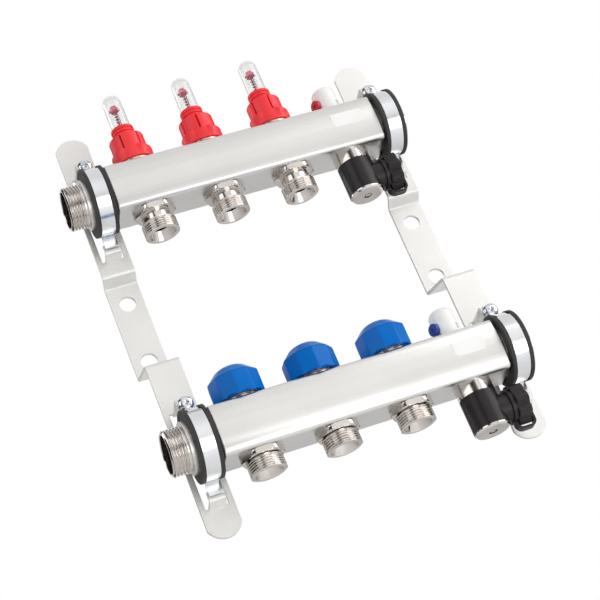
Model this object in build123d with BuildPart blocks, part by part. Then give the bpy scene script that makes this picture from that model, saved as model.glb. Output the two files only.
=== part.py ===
from build123d import *

import os
from math import asin, cos, sin, sqrt

os.makedirs("parts", exist_ok=True)

# Three-circuit stainless steel underfloor heating manifold on two wall brackets.
# Millimetres. X runs along the bars, Z up, and the wall is the plane Y = 0 with the room at -Y.
# The origin is the centre of the four wall-fixing holes, on the wall plane.

# Bars
bar_height = 38.5
bar_depth = 40.0
bar_flat = 32.5
bar_corner = 4.0
bar_wall = 2.0
bar_end_round = 1.6
neck_diameter = 38.0
neck_length = 20.0
plug_neck_length = 18.5

# Layout of the ports along each bar
circuit_count = 3
circuit_pitch = 55.0
first_circuit = 27.5
service_spacing = 47.5
service_inset = 27.0

# Brackets
strip_width = 25.0
strip_thickness = 2.5
strip_top = 166.5
strip_bottom = -183.5
strip_end_radius = 13.5
bend_radius = 3.0
upper_step = 10.0
upper_bend_high = 45.5
upper_bend_low = 41.0
lower_step = 42.0
lower_bend_high = -36.5
lower_bend_low = -46.5
supply_height = 94.5
return_drop = 123.5
fixing_rise = 49.0
fixing_hole = 12.5
window_width = 17.0
window_top = 37.0
window_bottom = -37.0

# Clamps
clamp_standoff = 25.0
rubber_width = 16.0
rubber_gap = 1.0
rubber_lip_diameter = 52.0
rubber_seat_diameter = 48.0
rubber_lip = 2.6
rubber_slit = 2.0
band_width = 10.4
band_thickness = 1.2
band_tail_width = 7.4
band_tail_start = 4.0
ear_height = 10.0
bend_factor = 0.62
tongue_width = 12.0
tongue_thickness = 2.5
tongue_hole_rise = 31.0
hook_rise = 8.0
screw_diameter = 5.0
screw_head_diameter = 10.6
screw_head_height = 3.0
screw_head_taper = 18.0
screw_length = 12.0
cross_slot_width = 1.4
cross_slot_length = 6.0
cross_slot_depth = 1.8

# Pipe nipples and end plugs
nipple_thread = 33.25
neck_thread = 31.8
nipple_bore = 27.6
nipple_reach = 14.0
nipple_engagement = 12.0
nipple_chamfer = 1.2
nipple_undercut = 1.0
nipple_undercut_width = 1.6
plug_flange = 36.0
plug_flange_height = 2.0
plug_socket = 14.0
plug_engagement = 9.0

# Circuit outlets
outlet_thread = 26.44
outlet_thread_length = 10.0
outlet_bore = 14.0
outlet_mouth = 20.4
outlet_cone_depth = 7.0
outlet_hex = 29.0
outlet_hex_corner = 32.0
outlet_hex_height = 4.6
outlet_neck_diameter = 22.0
outlet_shank = 23.0
outlet_shank_rise = 3.0
outlet_chamfer = 1.0
supply_outlet_neck = 6.6
return_outlet_neck = 0.8

# Valve cages inside the bars, shared by the flow meters and the return valves
cage_diameter = 19.0
cage_wall = 1.4
cage_window = 8.0
cage_rim = 3.0
valve_shank = 22.0
valve_flange = 29.0
valve_flange_height = 1.6
seat_gap = 0.3

# Flow meters
hub_diameter = 19.6
hub_height = 24.6
rod_bore = 3.2
glass_diameter = 14.0
glass_wall = 1.4
glass_height = 41.0
adjuster_floor = 2.0
skirt_height = 24.0
skirt_upper_diameter = 27.0
skirt_lower_diameter = 31.6
skirt_flare_height = 11.0
skirt_taper = 1.0
skirt_step = 1.2
shoulder_height = 3.2
shoulder_round = 1.0
grip_count = 6
grip_channel = 7.6
grip_turns = (20.0, -2.0, 12.0)
slit_width = 1.0
slit_depth = 1.4
slit_height = 11.0
collar_diameter = 17.6
collar_height = 9.0
collar_groove = 0.7
indicator_diameter = 8.6
indicator_height = 5.0
indicator_rest = 27.0
indicator_travel = 14.0
rod_diameter = 1.4
rod_tail = 2.0
spring_diameter = 3.8
spring_wire = 0.6
spring_turns = 10

# Return valve inserts and their blue caps
insert_thread = 29.4
insert_thread_height = 10.0
gland_diameter = 12.0
gland_height = 3.0
pin_diameter = 3.2
pin_disc_diameter = 12.0
pin_disc_height = 2.4
pin_travel = 3.0
pin_proud = 3.2
cap_sides = 10
cap_diameter = 38.4
cap_floor = 1.3
cap_side_height = 14.0
cap_dome_height = 13.4
cap_crown_diameter = 13.0
cap_wall_clear = 0.5
cap_scallop = 1.3
scallop_radius = 5.0
cap_crown = 2.4
cap_facet_turn = 0.0

# Air vents
vent_shank = 12.0
vent_flange = 24.0
vent_flange_height = 2.4
vent_stem = 9.0
vent_stem_height = 8.0
vent_knob_diameter = 20.0
vent_knob_height = 21.0
vent_knob_round = 5.5
vent_knob_facet = 1.6
vent_spout_diameter = 8.5
vent_spout_reach = 13.0
vent_spout_angle = 205.0
vent_spout_lift = 1.5
vent_spout_wall = 1.6

# Fill and drain valves
drain_shank = 20.0
drain_hex = 25.0
drain_hex_corner = 27.0
drain_hex_height = 8.2
drain_hex_turn = 30.0
drain_shank_rise = 2.0
drain_core_wall = 2.6
drain_core = 16.0
drain_body_diameter = 27.0
drain_body_height = 25.5
drain_disc_height = 2.2
drain_disc_chamfer = 1.2
drain_recess = 6.4
drain_recess_depth = 2.6
spindle_diameter = 5.6
spindle_square = 3.4
spindle_length = 12.0
branch_drop = 22.6
branch_neck = 22.0
branch_neck_reach = 19.0
branch_spigot = 24.4
branch_spigot_reach = 27.2
branch_bore = 12.0
drain_cap_diameter = 30.0
drain_cap_lobe = 4.6
drain_cap_lobes = 8
lobe_valley = 3.0
drain_cap_end = 2.2
strap_thickness = 1.6
strap_width = 6.0
strap_drop = 3.0
strap_bend = 4.0
strap_ring_width = 2.4
strap_button = 7.0
strap_button_height = 2.2

# Clearances
fit_gap = 0.1
turn_gap = 0.3

# Places worked out from the sizes above
bar_length = first_circuit + circuit_pitch * (circuit_count - 1) + service_spacing + service_inset
bar_left = -bar_length / 2
bar_right = bar_length / 2
bar_top = bar_height / 2
circuit_places = [bar_left + first_circuit + circuit_pitch * i for i in range(circuit_count)]
service_place = bar_right - service_inset
clamp_places = (bar_left - rubber_gap - rubber_width / 2, bar_right + rubber_gap + rubber_width / 2)
upper_face = -strip_thickness - upper_step
lower_face = -strip_thickness - lower_step
supply_axis = (upper_face - clamp_standoff, supply_height)
return_axis = (lower_face - clamp_standoff, -return_drop)
fixing_places = [(x, z) for x in clamp_places for z in (-fixing_rise / 2, fixing_rise / 2)]


def keep(builder, label):
    """Label a finished piece and write it to its own file."""
    builder.part.label = label
    export_step(builder.part, f"parts/{label}.step")


def side_plane(x, y, z):
    """Plane through a point with local X along the bars and local Y up."""
    return Plane(origin=(x, y, z), x_dir=(1, 0, 0), z_dir=(0, -1, 0))


def flat_plane(x, y, z):
    """Horizontal plane through a point."""
    return Plane(origin=(x, y, z), x_dir=(1, 0, 0), z_dir=(0, 0, 1))


def end_plane(x, y, z):
    """Plane across the bars: local X towards the wall, local Y up, normal along +X."""
    return Plane(origin=(x, y, z), x_dir=(0, 1, 0), z_dir=(1, 0, 0))


def turned(plane, points, mode=Mode.ADD):
    """Revolve an outline of (radius, height) points about the plane's local Y axis."""
    with BuildSketch(plane) as outline:
        with BuildLine():
            Polyline(*points, close=True)
        make_face()
    revolve(outline.sketch, axis=Axis(plane.origin, plane.y_dir), mode=mode)


def turned_along(plane, points, mode=Mode.ADD):
    """Revolve an outline of (distance, radius) points about the plane's local X axis."""
    with BuildSketch(plane) as outline:
        with BuildLine():
            Polyline(*points, close=True)
        make_face()
    revolve(outline.sketch, axis=Axis(plane.origin, plane.x_dir), mode=mode)


def drilled(plane, diameter, depth):
    """Cut a round hole from a plane along its normal."""
    with BuildSketch(plane) as hole:
        Circle(diameter / 2)
    extrude(hole.sketch, amount=depth, mode=Mode.SUBTRACT)


# Bars: bulged front and back, flat top and bottom, hollow, with a round neck at each end
def bar_section(plane, shrink=0.0):
    """Sketch the section of a bar, smaller by a wall thickness when asked."""
    flat, half, bulge = bar_flat / 2, bar_height / 2, bar_depth / 2
    with BuildSketch(plane) as section:
        with BuildLine():
            Line((flat, -half), (-flat, -half))
            ThreePointArc((-flat, -half), (-bulge, 0), (-flat, half))
            Line((-flat, half), (flat, half))
            ThreePointArc((flat, half), (bulge, 0), (flat, -half))
        make_face()
        fillet(section.vertices(), bar_corner)
        if shrink:
            offset(amount=-shrink, mode=Mode.REPLACE)
    return section.sketch


def make_bar(label, axis):
    """One bar with its necks, circuit ports above and below, and service ports."""
    y, z = axis
    with BuildPart() as bar:
        extrude(bar_section(end_plane(bar_left, y, z)), amount=bar_length)
        ends = bar.faces().filter_by(Axis.X)
        fillet(ends.edges(), bar_end_round)
        with BuildSketch(end_plane(bar_left - neck_length, y, z)):
            Circle(neck_diameter / 2)
        extrude(amount=neck_length + bar_wall)
        with BuildSketch(end_plane(bar_right - bar_wall, y, z)):
            Circle(neck_diameter / 2)
        extrude(amount=plug_neck_length + bar_wall)
        inside = bar_section(end_plane(bar_left + bar_wall, y, z), bar_wall)
        extrude(inside, amount=bar_length - 2 * bar_wall, mode=Mode.SUBTRACT)
        through = neck_length + bar_length + plug_neck_length
        drilled(end_plane(bar_left - neck_length, y, z), neck_thread + 2 * fit_gap, through)
        for x in circuit_places:
            drilled(flat_plane(x, y, z), valve_shank + 2 * fit_gap, bar_height)
            drilled(flat_plane(x, y, z), outlet_shank + 2 * fit_gap, -bar_height)
        drilled(flat_plane(service_place, y, z), vent_shank + 2 * fit_gap, bar_height)
        drilled(flat_plane(service_place, y, z), drain_shank + 2 * fit_gap, -bar_height)
    keep(bar, label)


make_bar("supply_bar", supply_axis)
make_bar("return_bar", return_axis)


# Pipe nipples screwed into the left necks
def make_nipple(label, axis):
    """Threaded tube end with a chamfered rim."""
    reach, inside = nipple_reach, nipple_engagement
    outer, bore, shank = nipple_thread / 2, nipple_bore / 2, neck_thread / 2
    with BuildPart() as nipple:
        plane = side_plane(bar_left - neck_length, axis[0], axis[1])
        turned_along(plane, [
            (-reach, bore), (inside, bore), (inside, shank), (0, shank),
            (0, outer - nipple_undercut), (-nipple_undercut_width, outer - nipple_undercut),
            (-nipple_undercut_width, outer), (-reach + nipple_chamfer, outer),
            (-reach, outer - nipple_chamfer)])
    keep(nipple, label)


make_nipple("supply_nipple", supply_axis)
make_nipple("return_nipple", return_axis)

# End plugs screwed into the right necks, with a hexagon socket
with BuildPart() as end_plugs:
    for axis in (supply_axis, return_axis):
        neck_end = bar_right + plug_neck_length
        with BuildSketch(end_plane(neck_end - plug_engagement, axis[0], axis[1])):
            Circle(neck_thread / 2)
        extrude(amount=plug_engagement)
        with BuildSketch(end_plane(neck_end, axis[0], axis[1])):
            Circle(plug_flange / 2)
        extrude(amount=plug_flange_height)
        with BuildSketch(end_plane(neck_end + plug_flange_height, axis[0], axis[1])):
            RegularPolygon(plug_socket / 2, 6, major_radius=False)
        extrude(amount=-plug_engagement, mode=Mode.SUBTRACT)
keep(end_plugs, "end_plugs")


# Wall brackets: one folded strip each, with two lanced windows and four tongues
def folded(plane, points, thickness, width, radius):
    """Fold a strip along a path of its middle line and give it its width."""
    with BuildSketch(plane) as section:
        with BuildLine():
            FilletPolyline(*points, radius=radius)
        trace(line_width=thickness)
    extrude(section.sketch, amount=width / 2, both=True)


def tongue_shapes(place, axis, face):
    """Upper tongue that takes the clamp screw and lower hook that takes the band's end."""
    y, z = axis
    half = tongue_thickness / 2
    inset = strip_thickness / 2
    ear_back = y + band_thickness / 2
    with_root = face + inset
    folded(Plane(origin=(place, 0, 0), x_dir=(0, 1, 0), z_dir=(1, 0, 0)), [
        (with_root, z + window_top + hook_rise),
        (with_root, z + window_top - half),
        (ear_back + half, z + window_top - half),
        (ear_back + half, z + rubber_lip_diameter / 2 + turn_gap)],
        tongue_thickness, tongue_width, tongue_thickness * bend_factor)
    hook_front = y + rubber_lip_diameter / 2 - tongue_width + half
    folded(Plane(origin=(place, 0, 0), x_dir=(0, 1, 0), z_dir=(1, 0, 0)), [
        (with_root, z + window_bottom - hook_rise),
        (with_root, z + window_bottom),
        (hook_front, z + window_bottom + half),
        (hook_front, z + window_bottom + hook_rise)],
        tongue_thickness, tongue_width, tongue_thickness * bend_factor)


def make_bracket(label, place):
    """One wall bracket centred on a clamp place."""
    mid = strip_thickness / 2
    path = [
        (upper_face + mid, strip_top), (upper_face + mid, upper_bend_high), (-mid, upper_bend_low),
        (-mid, lower_bend_high), (lower_face + mid, lower_bend_low), (lower_face + mid, strip_bottom)]
    front = Plane(origin=(place, 0, 0), x_dir=(1, 0, 0), z_dir=(0, -1, 0))
    reach = 2 * lower_step
    with BuildPart() as bracket:
        folded(Plane(origin=(place, 0, 0), x_dir=(0, 1, 0), z_dir=(1, 0, 0)), path,
               strip_thickness, strip_width, bend_radius)
        sag = strip_end_radius - sqrt(strip_end_radius ** 2 - (strip_width / 2) ** 2)
        with BuildSketch(front):
            with BuildLine():
                half = strip_width / 2
                ThreePointArc((-half, strip_top - sag), (0, strip_top), (half, strip_top - sag))
                Line((half, strip_top - sag), (half, strip_bottom + sag))
                ThreePointArc((half, strip_bottom + sag), (0, strip_bottom), (-half, strip_bottom + sag))
                Line((-half, strip_bottom + sag), (-half, strip_top - sag))
            make_face()
        extrude(amount=reach, both=True, mode=Mode.INTERSECT)
        for axis in (supply_axis, return_axis):
            with BuildSketch(front):
                with Locations((0, axis[1] + (window_top + window_bottom) / 2)):
                    Rectangle(window_width, window_top - window_bottom)
            extrude(amount=reach, both=True, mode=Mode.SUBTRACT)
        with BuildSketch(front):
            with Locations((0, fixing_rise / 2), (0, -fixing_rise / 2)):
                Circle(fixing_hole / 2)
        extrude(amount=reach, both=True, mode=Mode.SUBTRACT)
        for axis, face in ((supply_axis, upper_face), (return_axis, lower_face)):
            tongue_shapes(place, axis, face)
            drilled(Plane(origin=(place, axis[0] + reach / 2, axis[1] + tongue_hole_rise),
                          x_dir=(1, 0, 0), z_dir=(0, -1, 0)),
                    screw_diameter + 2 * fit_gap, reach)
    keep(bracket, label)


make_bracket("left_bracket", clamp_places[0])
make_bracket("right_bracket", clamp_places[1])


# Rubber inserts round the necks, with a proud lip on each side of the band
def make_rubber(label, place, axis):
    """Split rubber ring that the clamp presses on a neck."""
    half = rubber_width / 2
    inner = neck_diameter / 2 + fit_gap
    lip, seat = rubber_lip_diameter / 2, rubber_seat_diameter / 2
    with BuildPart() as rubber:
        plane = side_plane(place, axis[0], axis[1])
        turned_along(plane, [
            (-half, inner), (half, inner), (half, lip), (half - rubber_lip, lip),
            (half - rubber_lip, seat), (-half + rubber_lip, seat), (-half + rubber_lip, lip), (-half, lip)])
        with BuildSketch(end_plane(place, axis[0], axis[1])):
            with Locations((0, lip)):
                Rectangle(rubber_slit, lip)
        extrude(amount=rubber_width, both=True, mode=Mode.SUBTRACT)
    keep(rubber, label)


# Clamp bands: a flat ear under the screw, a curve over the front, and a neck in the hook
def make_band(label, place, axis):
    """Sheet-metal band that pulls the rubber and the neck against the bracket."""
    y, z = axis
    radius = rubber_seat_diameter / 2 + band_thickness / 2 + fit_gap
    hook_low = window_bottom + hook_rise / 2
    tail_y = rubber_lip_diameter / 2 - tongue_width - tongue_thickness
    with BuildPart() as band:
        with BuildSketch(end_plane(place, y, z)) as path:
            side = sqrt(radius ** 2 - tail_y ** 2)
            with BuildLine():
                Line((0, tongue_hole_rise + ear_height / 2), (0, radius))
                ThreePointArc((0, radius), (-radius, 0), (tail_y, -side))
                Line((tail_y, -side), (tail_y, hook_low))
            trace(line_width=band_thickness)
        extrude(amount=band_width / 2, both=True)
        ear_centre = (place, y + radius, z + tongue_hole_rise)
        drilled(Plane(origin=ear_centre, x_dir=(1, 0, 0), z_dir=(0, -1, 0)),
                screw_diameter + 2 * fit_gap, 2 * radius)
        notch = (band_width - band_tail_width) / 2
        notch_height = -hook_low - side + band_tail_start
        with BuildSketch(Plane(origin=(place, y - radius, z), x_dir=(1, 0, 0), z_dir=(0, 1, 0))):
            with Locations((-band_width / 2, hook_low), (band_width / 2, hook_low)):
                Rectangle(2 * notch, 2 * notch_height)
        extrude(amount=2 * radius, mode=Mode.SUBTRACT)
    keep(band, label)


for bar_name, axis in (("supply", supply_axis), ("return", return_axis)):
    for side, place in zip(("left", "right"), clamp_places):
        make_rubber(f"{bar_name}_{side}_rubber", place, axis)
        make_band(f"{bar_name}_{side}_band", place, axis)

# Clamp screws: pan head with a cross slot, threaded through ear and tongue
with BuildPart() as clamp_screws:
    for axis in (supply_axis, return_axis):
        for place in clamp_places:
            head_plane = Plane(
                origin=(place, axis[0] - band_thickness / 2 - fit_gap, axis[1] + tongue_hole_rise),
                x_dir=(1, 0, 0), z_dir=(0, -1, 0))
            with BuildSketch(head_plane):
                Circle(screw_head_diameter / 2)
            extrude(amount=screw_head_height, taper=screw_head_taper)
            with BuildSketch(head_plane):
                Circle(screw_diameter / 2)
            extrude(amount=-screw_length)
            with BuildSketch(head_plane.offset(screw_head_height)):
                Rectangle(cross_slot_length, cross_slot_width)
                Rectangle(cross_slot_width, cross_slot_length)
            extrude(amount=-cross_slot_depth, mode=Mode.SUBTRACT)
keep(clamp_screws, "clamp_screws")


# Circuit outlets: shank in the bar, hexagon, neck and thread with a conical mouth
def make_outlet(label, x, axis, neck):
    """One outlet hanging from the underside of a bar."""
    thread, bore, mouth = outlet_thread / 2, outlet_bore / 2, outlet_mouth / 2
    shank_top = bar_wall + outlet_shank_rise
    neck_low = -outlet_hex_height - neck
    tip = neck_low - outlet_thread_length
    plane = side_plane(x, axis[0], axis[1] - bar_height / 2)
    with BuildPart() as outlet:
        turned(plane, [
            (0, shank_top), (outlet_shank / 2, shank_top), (outlet_shank / 2, -outlet_hex_height / 2),
            (outlet_neck_diameter / 2, -outlet_hex_height / 2), (outlet_neck_diameter / 2, neck_low),
            (thread - outlet_chamfer, neck_low), (thread, neck_low - outlet_chamfer),
            (thread, tip + outlet_chamfer), (thread - outlet_chamfer, tip), (0, tip)])
        with BuildSketch(flat_plane(x, axis[0], axis[1] - bar_height / 2)):
            RegularPolygon(outlet_hex / 2, 6, major_radius=False)
            Circle(outlet_hex_corner / 2, mode=Mode.INTERSECT)
        extrude(amount=-outlet_hex_height)
        turned(plane, [
            (0, shank_top), (bore, shank_top), (bore, tip + outlet_cone_depth), (mouth, tip), (0, tip)],
            mode=Mode.SUBTRACT)
    keep(outlet, label)


for i, x in enumerate(circuit_places):
    make_outlet(f"supply_outlet_{i + 1}", x, supply_axis, supply_outlet_neck)
    make_outlet(f"return_outlet_{i + 1}", x, return_axis, return_outlet_neck)

# Heights of the valve parts above the axis of their bar
cage_foot = -bar_top + bar_wall + outlet_shank_rise + seat_gap
cage_head = bar_top - bar_wall
flange_top = bar_top + valve_flange_height
hub_top = bar_top + hub_height
skirt_bottom = bar_top + adjuster_floor
skirt_top = skirt_bottom + skirt_height
collar_top = skirt_top + collar_height
indicator_low = hub_top + indicator_rest
gland_top = flange_top + insert_thread_height + gland_height
pin_top = gland_top + pin_proud
pin_foot = cage_foot + pin_travel
cap_bottom = bar_top + cap_floor


def valve_cage(plane, passage):
    """Threaded shank, flange and windowed cage that stands on the outlet inside the bar."""
    outer = cage_diameter / 2
    turned(plane, [
        (passage / 2, cage_head - cage_wall), (outer - cage_wall, cage_head - cage_wall),
        (outer - cage_wall, cage_foot), (outer, cage_foot), (outer, cage_head),
        (valve_shank / 2, cage_head), (valve_shank / 2, bar_top), (valve_flange / 2, bar_top),
        (valve_flange / 2, flange_top), (passage / 2, flange_top)])
    low, high = cage_foot + cage_rim, cage_head - cage_rim - cage_wall
    for across in (Plane(plane.origin, x_dir=(1, 0, 0), z_dir=(0, -1, 0)),
                   Plane(plane.origin, x_dir=(0, 1, 0), z_dir=(1, 0, 0))):
        with BuildSketch(across) as window:
            with Locations((0, (low + high) / 2)):
                RectangleRounded(cage_window, high - low, cage_window / 4)
        extrude(window.sketch, amount=cage_diameter, both=True, mode=Mode.SUBTRACT)


# Flow meter bodies on the supply bar
def make_meter_body(label, plane):
    """Brass body with the hub that the red adjuster turns on."""
    hub, passage = hub_diameter / 2, rod_bore / 2
    with BuildPart() as body:
        valve_cage(plane, rod_bore)
        turned(plane, [(passage, flange_top), (hub, flange_top), (hub, hub_top), (passage, hub_top)])
    keep(body, label)


# Red adjusters: round skirt with slits, six grips where it flares, and a grooved collar
def make_adjuster(label, plane, turn):
    """Adjuster that turns on the hub, clear of the hub and the glass."""
    x, y, z = plane.origin
    bore = hub_diameter / 2 + turn_gap
    throat = glass_diameter / 2 + turn_gap
    collar = collar_diameter / 2
    upper, lower = skirt_upper_diameter / 2, skirt_lower_diameter / 2
    flare_top = skirt_bottom + skirt_flare_height
    shoulder = skirt_top - shoulder_height
    groove = skirt_top + collar_height / 2
    ceiling = hub_top + turn_gap
    with BuildPart() as adjuster:
        turned(plane, [
            (0, skirt_bottom), (lower, skirt_bottom), (lower - skirt_taper, flare_top - skirt_step),
            (upper, flare_top), (upper, shoulder), (upper - shoulder_round, shoulder + shoulder_round),
            (collar + shoulder_round, skirt_top), (collar, skirt_top), (collar, groove - collar_groove),
            (collar - collar_groove, groove), (collar, groove + collar_groove),
            (collar, collar_top - collar_groove), (collar - collar_groove, collar_top), (0, collar_top)])
        with BuildSketch(flat_plane(x, y, z + skirt_bottom)) as channels:
            with PolarLocations(upper + lower, grip_count, start_angle=turn):
                Rectangle(2 * lower, grip_channel)
        extrude(channels.sketch, amount=skirt_flare_height, mode=Mode.SUBTRACT)
        turned(plane, [
            (0, skirt_bottom), (bore, skirt_bottom), (bore, ceiling), (throat, ceiling),
            (throat, collar_top), (0, collar_top)], mode=Mode.SUBTRACT)
        with BuildSketch(flat_plane(x, y, z + shoulder)) as slits:
            with PolarLocations(upper, grip_count, start_angle=turn):
                Rectangle(2 * slit_depth, slit_width)
        extrude(slits.sketch, amount=-slit_height, mode=Mode.SUBTRACT)
    keep(adjuster, label)


# Sight glasses: domed tubes standing on the hubs
def make_glass(label, plane):
    """Clear tube with a round top."""
    outer = glass_diameter / 2
    inner = outer - glass_wall
    shoulder = hub_top + glass_height - outer
    bend = sqrt(0.5)
    with BuildPart() as glass:
        with BuildSketch(plane) as outline:
            with BuildLine():
                Line((inner, hub_top), (outer, hub_top))
                Line((outer, hub_top), (outer, shoulder))
                ThreePointArc(
                    (outer, shoulder), (outer * bend, shoulder + outer * bend), (0, shoulder + outer))
                Line((0, shoulder + outer), (0, shoulder + inner))
                ThreePointArc(
                    (0, shoulder + inner), (inner * bend, shoulder + inner * bend), (inner, shoulder))
                Line((inner, shoulder), (inner, hub_top))
            make_face()
        revolve(outline.sketch, axis=Axis(plane.origin, plane.y_dir))
    keep(glass, label)


# Flow indicators: a disc on a rod that slides in the hub, carried by a light spring
def make_indicator(label, plane):
    """Disc and rod of one flow indicator at no flow."""
    disc, rod = indicator_diameter / 2, rod_diameter / 2
    high = indicator_low + indicator_height
    with BuildPart() as indicator:
        turned(plane, [
            (0, hub_top - rod_tail), (rod, hub_top - rod_tail), (rod, indicator_low), (disc, indicator_low),
            (disc, indicator_low + indicator_height / 3), (disc / 2, high), (0, high)])
    keep(indicator, label)


def make_spring(label, plane):
    """Close-wound spring as a ribbed sleeve between the hub and the disc."""
    outer = spring_diameter / 2
    low, high = hub_top + turn_gap, indicator_low - turn_gap
    rise = (high - low) / spring_turns
    ribs = [(outer - spring_wire / 2 * (k % 2), low + rise * k / 2) for k in range(2 * spring_turns + 1)]
    with BuildPart() as spring:
        turned(plane, [(outer - spring_wire, low)] + ribs + [(outer - spring_wire, high)])
    keep(spring, label)


# Return valve inserts, their pins and the blue caps
def make_insert(label, plane):
    """Brass insert with the cap thread, the gland and the bore for the pin."""
    passage = pin_diameter / 2 + fit_gap
    thread, gland = insert_thread / 2, gland_diameter / 2
    thread_top = flange_top + insert_thread_height
    with BuildPart() as insert:
        valve_cage(plane, 2 * passage)
        turned(plane, [
            (passage, flange_top), (thread, flange_top), (thread, thread_top), (gland, thread_top),
            (gland, gland_top), (passage, gland_top)])
    keep(insert, label)


def make_pin(label, plane):
    """Valve pin with the disc that closes on the outlet."""
    disc, pin = pin_disc_diameter / 2, pin_diameter / 2
    with BuildPart() as valve_pin:
        turned(plane, [
            (0, pin_foot), (disc, pin_foot), (disc, pin_foot + pin_disc_height),
            (pin, pin_foot + pin_disc_height), (pin, pin_top), (0, pin_top)])
    keep(valve_pin, label)


def make_cap(label, plane):
    """Blue cap: faceted sides, sloping top, and a scallop under each facet."""
    x, y, z = plane.origin
    outer, crown = cap_diameter / 2, cap_crown_diameter / 2
    shoulder = cap_bottom + cap_side_height
    high = shoulder + cap_dome_height
    slope = (cap_dome_height - cap_crown) / (outer - crown)
    outside, eave = outer + turn_gap, shoulder - slope * turn_gap
    ball = (crown ** 2 + cap_crown ** 2) / (2 * cap_crown)
    half_arc = asin(crown / ball) / 2
    crown_middle = (ball * sin(half_arc), high - ball + ball * cos(half_arc))
    cavity = insert_thread / 2 + cap_wall_clear
    thread_top = flange_top + insert_thread_height + turn_gap
    well = gland_diameter / 2 + cap_wall_clear
    with BuildPart() as cap:
        with BuildSketch(flat_plane(x, y, z + cap_bottom)):
            RegularPolygon(outer, cap_sides, rotation=cap_facet_turn)
        extrude(amount=high - cap_bottom)
        with BuildSketch(plane) as outline:
            with BuildLine():
                Polyline((0, high), (0, cap_bottom), (outside, cap_bottom), (outside, eave))
                Line((outside, eave), (crown, high - cap_crown))
                ThreePointArc((crown, high - cap_crown), crown_middle, (0, high))
            make_face()
        revolve(outline.sketch, axis=Axis(plane.origin, plane.y_dir), mode=Mode.INTERSECT)
        turned(plane, [
            (0, cap_bottom), (cavity, cap_bottom), (cavity, thread_top), (well, thread_top),
            (well, pin_top + turn_gap), (0, pin_top + turn_gap)], mode=Mode.SUBTRACT)
        drop = scallop_radius - cap_scallop
        for facet in range(cap_sides // 2):
            turn = cap_facet_turn + (facet + 0.5) * 360 / cap_sides
            along = Axis((x, y, z), (0, 0, 1))
            cutter = Plane(origin=(x, y, z + cap_bottom - drop), x_dir=(0, 1, 0), z_dir=(1, 0, 0))
            with BuildSketch(cutter) as scallop:
                Circle(scallop_radius)
            face = scallop.sketch.rotate(along, turn)
            extrude(face, amount=cap_diameter, both=True, mode=Mode.SUBTRACT)
    keep(cap, label)


for i, x in enumerate(circuit_places):
    meter_plane = side_plane(x, supply_axis[0], supply_axis[1])
    make_meter_body(f"flow_meter_body_{i + 1}", meter_plane)
    make_adjuster(f"flow_adjuster_{i + 1}", meter_plane, grip_turns[i])
    make_glass(f"sight_glass_{i + 1}", meter_plane)
    make_indicator(f"flow_indicator_{i + 1}", meter_plane)
    make_spring(f"indicator_spring_{i + 1}", meter_plane)
    valve_plane = side_plane(x, return_axis[0], return_axis[1])
    make_insert(f"valve_insert_{i + 1}", valve_plane)
    make_pin(f"valve_pin_{i + 1}", valve_plane)
    make_cap(f"blue_cap_{i + 1}", valve_plane)


# Air vents: threaded stem with a flange, and a domed knob with a side spout
def make_vent(prefix, axis):
    """Vent body and knob above the service place of a bar."""
    y, z = axis
    plane = side_plane(service_place, y, z)
    shank, flange, stem = vent_shank / 2, vent_flange / 2, vent_stem / 2
    flange_high = bar_top + vent_flange_height
    stem_high = flange_high + vent_stem_height
    bottom = flange_high + turn_gap
    knob, high = vent_knob_diameter / 2, flange_high + vent_knob_height
    with BuildPart() as body:
        turned(plane, [
            (0, cage_head - bar_wall), (shank, cage_head - bar_wall), (shank, bar_top), (flange, bar_top),
            (flange, flange_high), (stem, flange_high), (stem, stem_high), (0, stem_high)])
    keep(body, f"{prefix}_vent_body")
    spout_height = z + bottom + vent_spout_diameter / 2 + vent_spout_lift
    with BuildPart() as cover:
        turned(plane, [
            (0, bottom), (knob, bottom), (knob, high - vent_knob_round),
            (knob - vent_knob_facet, high - vent_knob_facet), (knob - vent_knob_round, high), (0, high)])
        spout = Plane((service_place, y, spout_height), x_dir=(0, 0, 1), z_dir=(1, 0, 0))
        with BuildSketch(spout) as nozzle:
            Circle(vent_spout_diameter / 2)
        turn_axis = Axis((service_place, y, z), (0, 0, 1))
        extrude(nozzle.sketch.rotate(turn_axis, vent_spout_angle), amount=vent_spout_reach)
        with BuildSketch(spout.offset(vent_spout_reach)) as hole:
            Circle(vent_spout_diameter / 2 - vent_spout_wall)
        extrude(hole.sketch.rotate(turn_axis, vent_spout_angle), amount=-vent_spout_wall, mode=Mode.SUBTRACT)
        turned(plane, [
            (0, bottom), (stem + turn_gap, bottom), (stem + turn_gap, stem_high + turn_gap),
            (0, stem_high + turn_gap)], mode=Mode.SUBTRACT)
    keep(cover, f"{prefix}_vent_knob")


make_vent("supply", supply_axis)
make_vent("return", return_axis)


# Fill and drain valves under the bars
def lobed(plane, diameter, lobe, count):
    """Sketch a round outline with convex lobes."""
    with BuildSketch(plane) as outline:
        Circle(diameter / 2 - lobe / lobe_valley)
        with PolarLocations(diameter / 2 - lobe, count, start_angle=90):
            Circle(lobe)
    return outline.sketch


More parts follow.
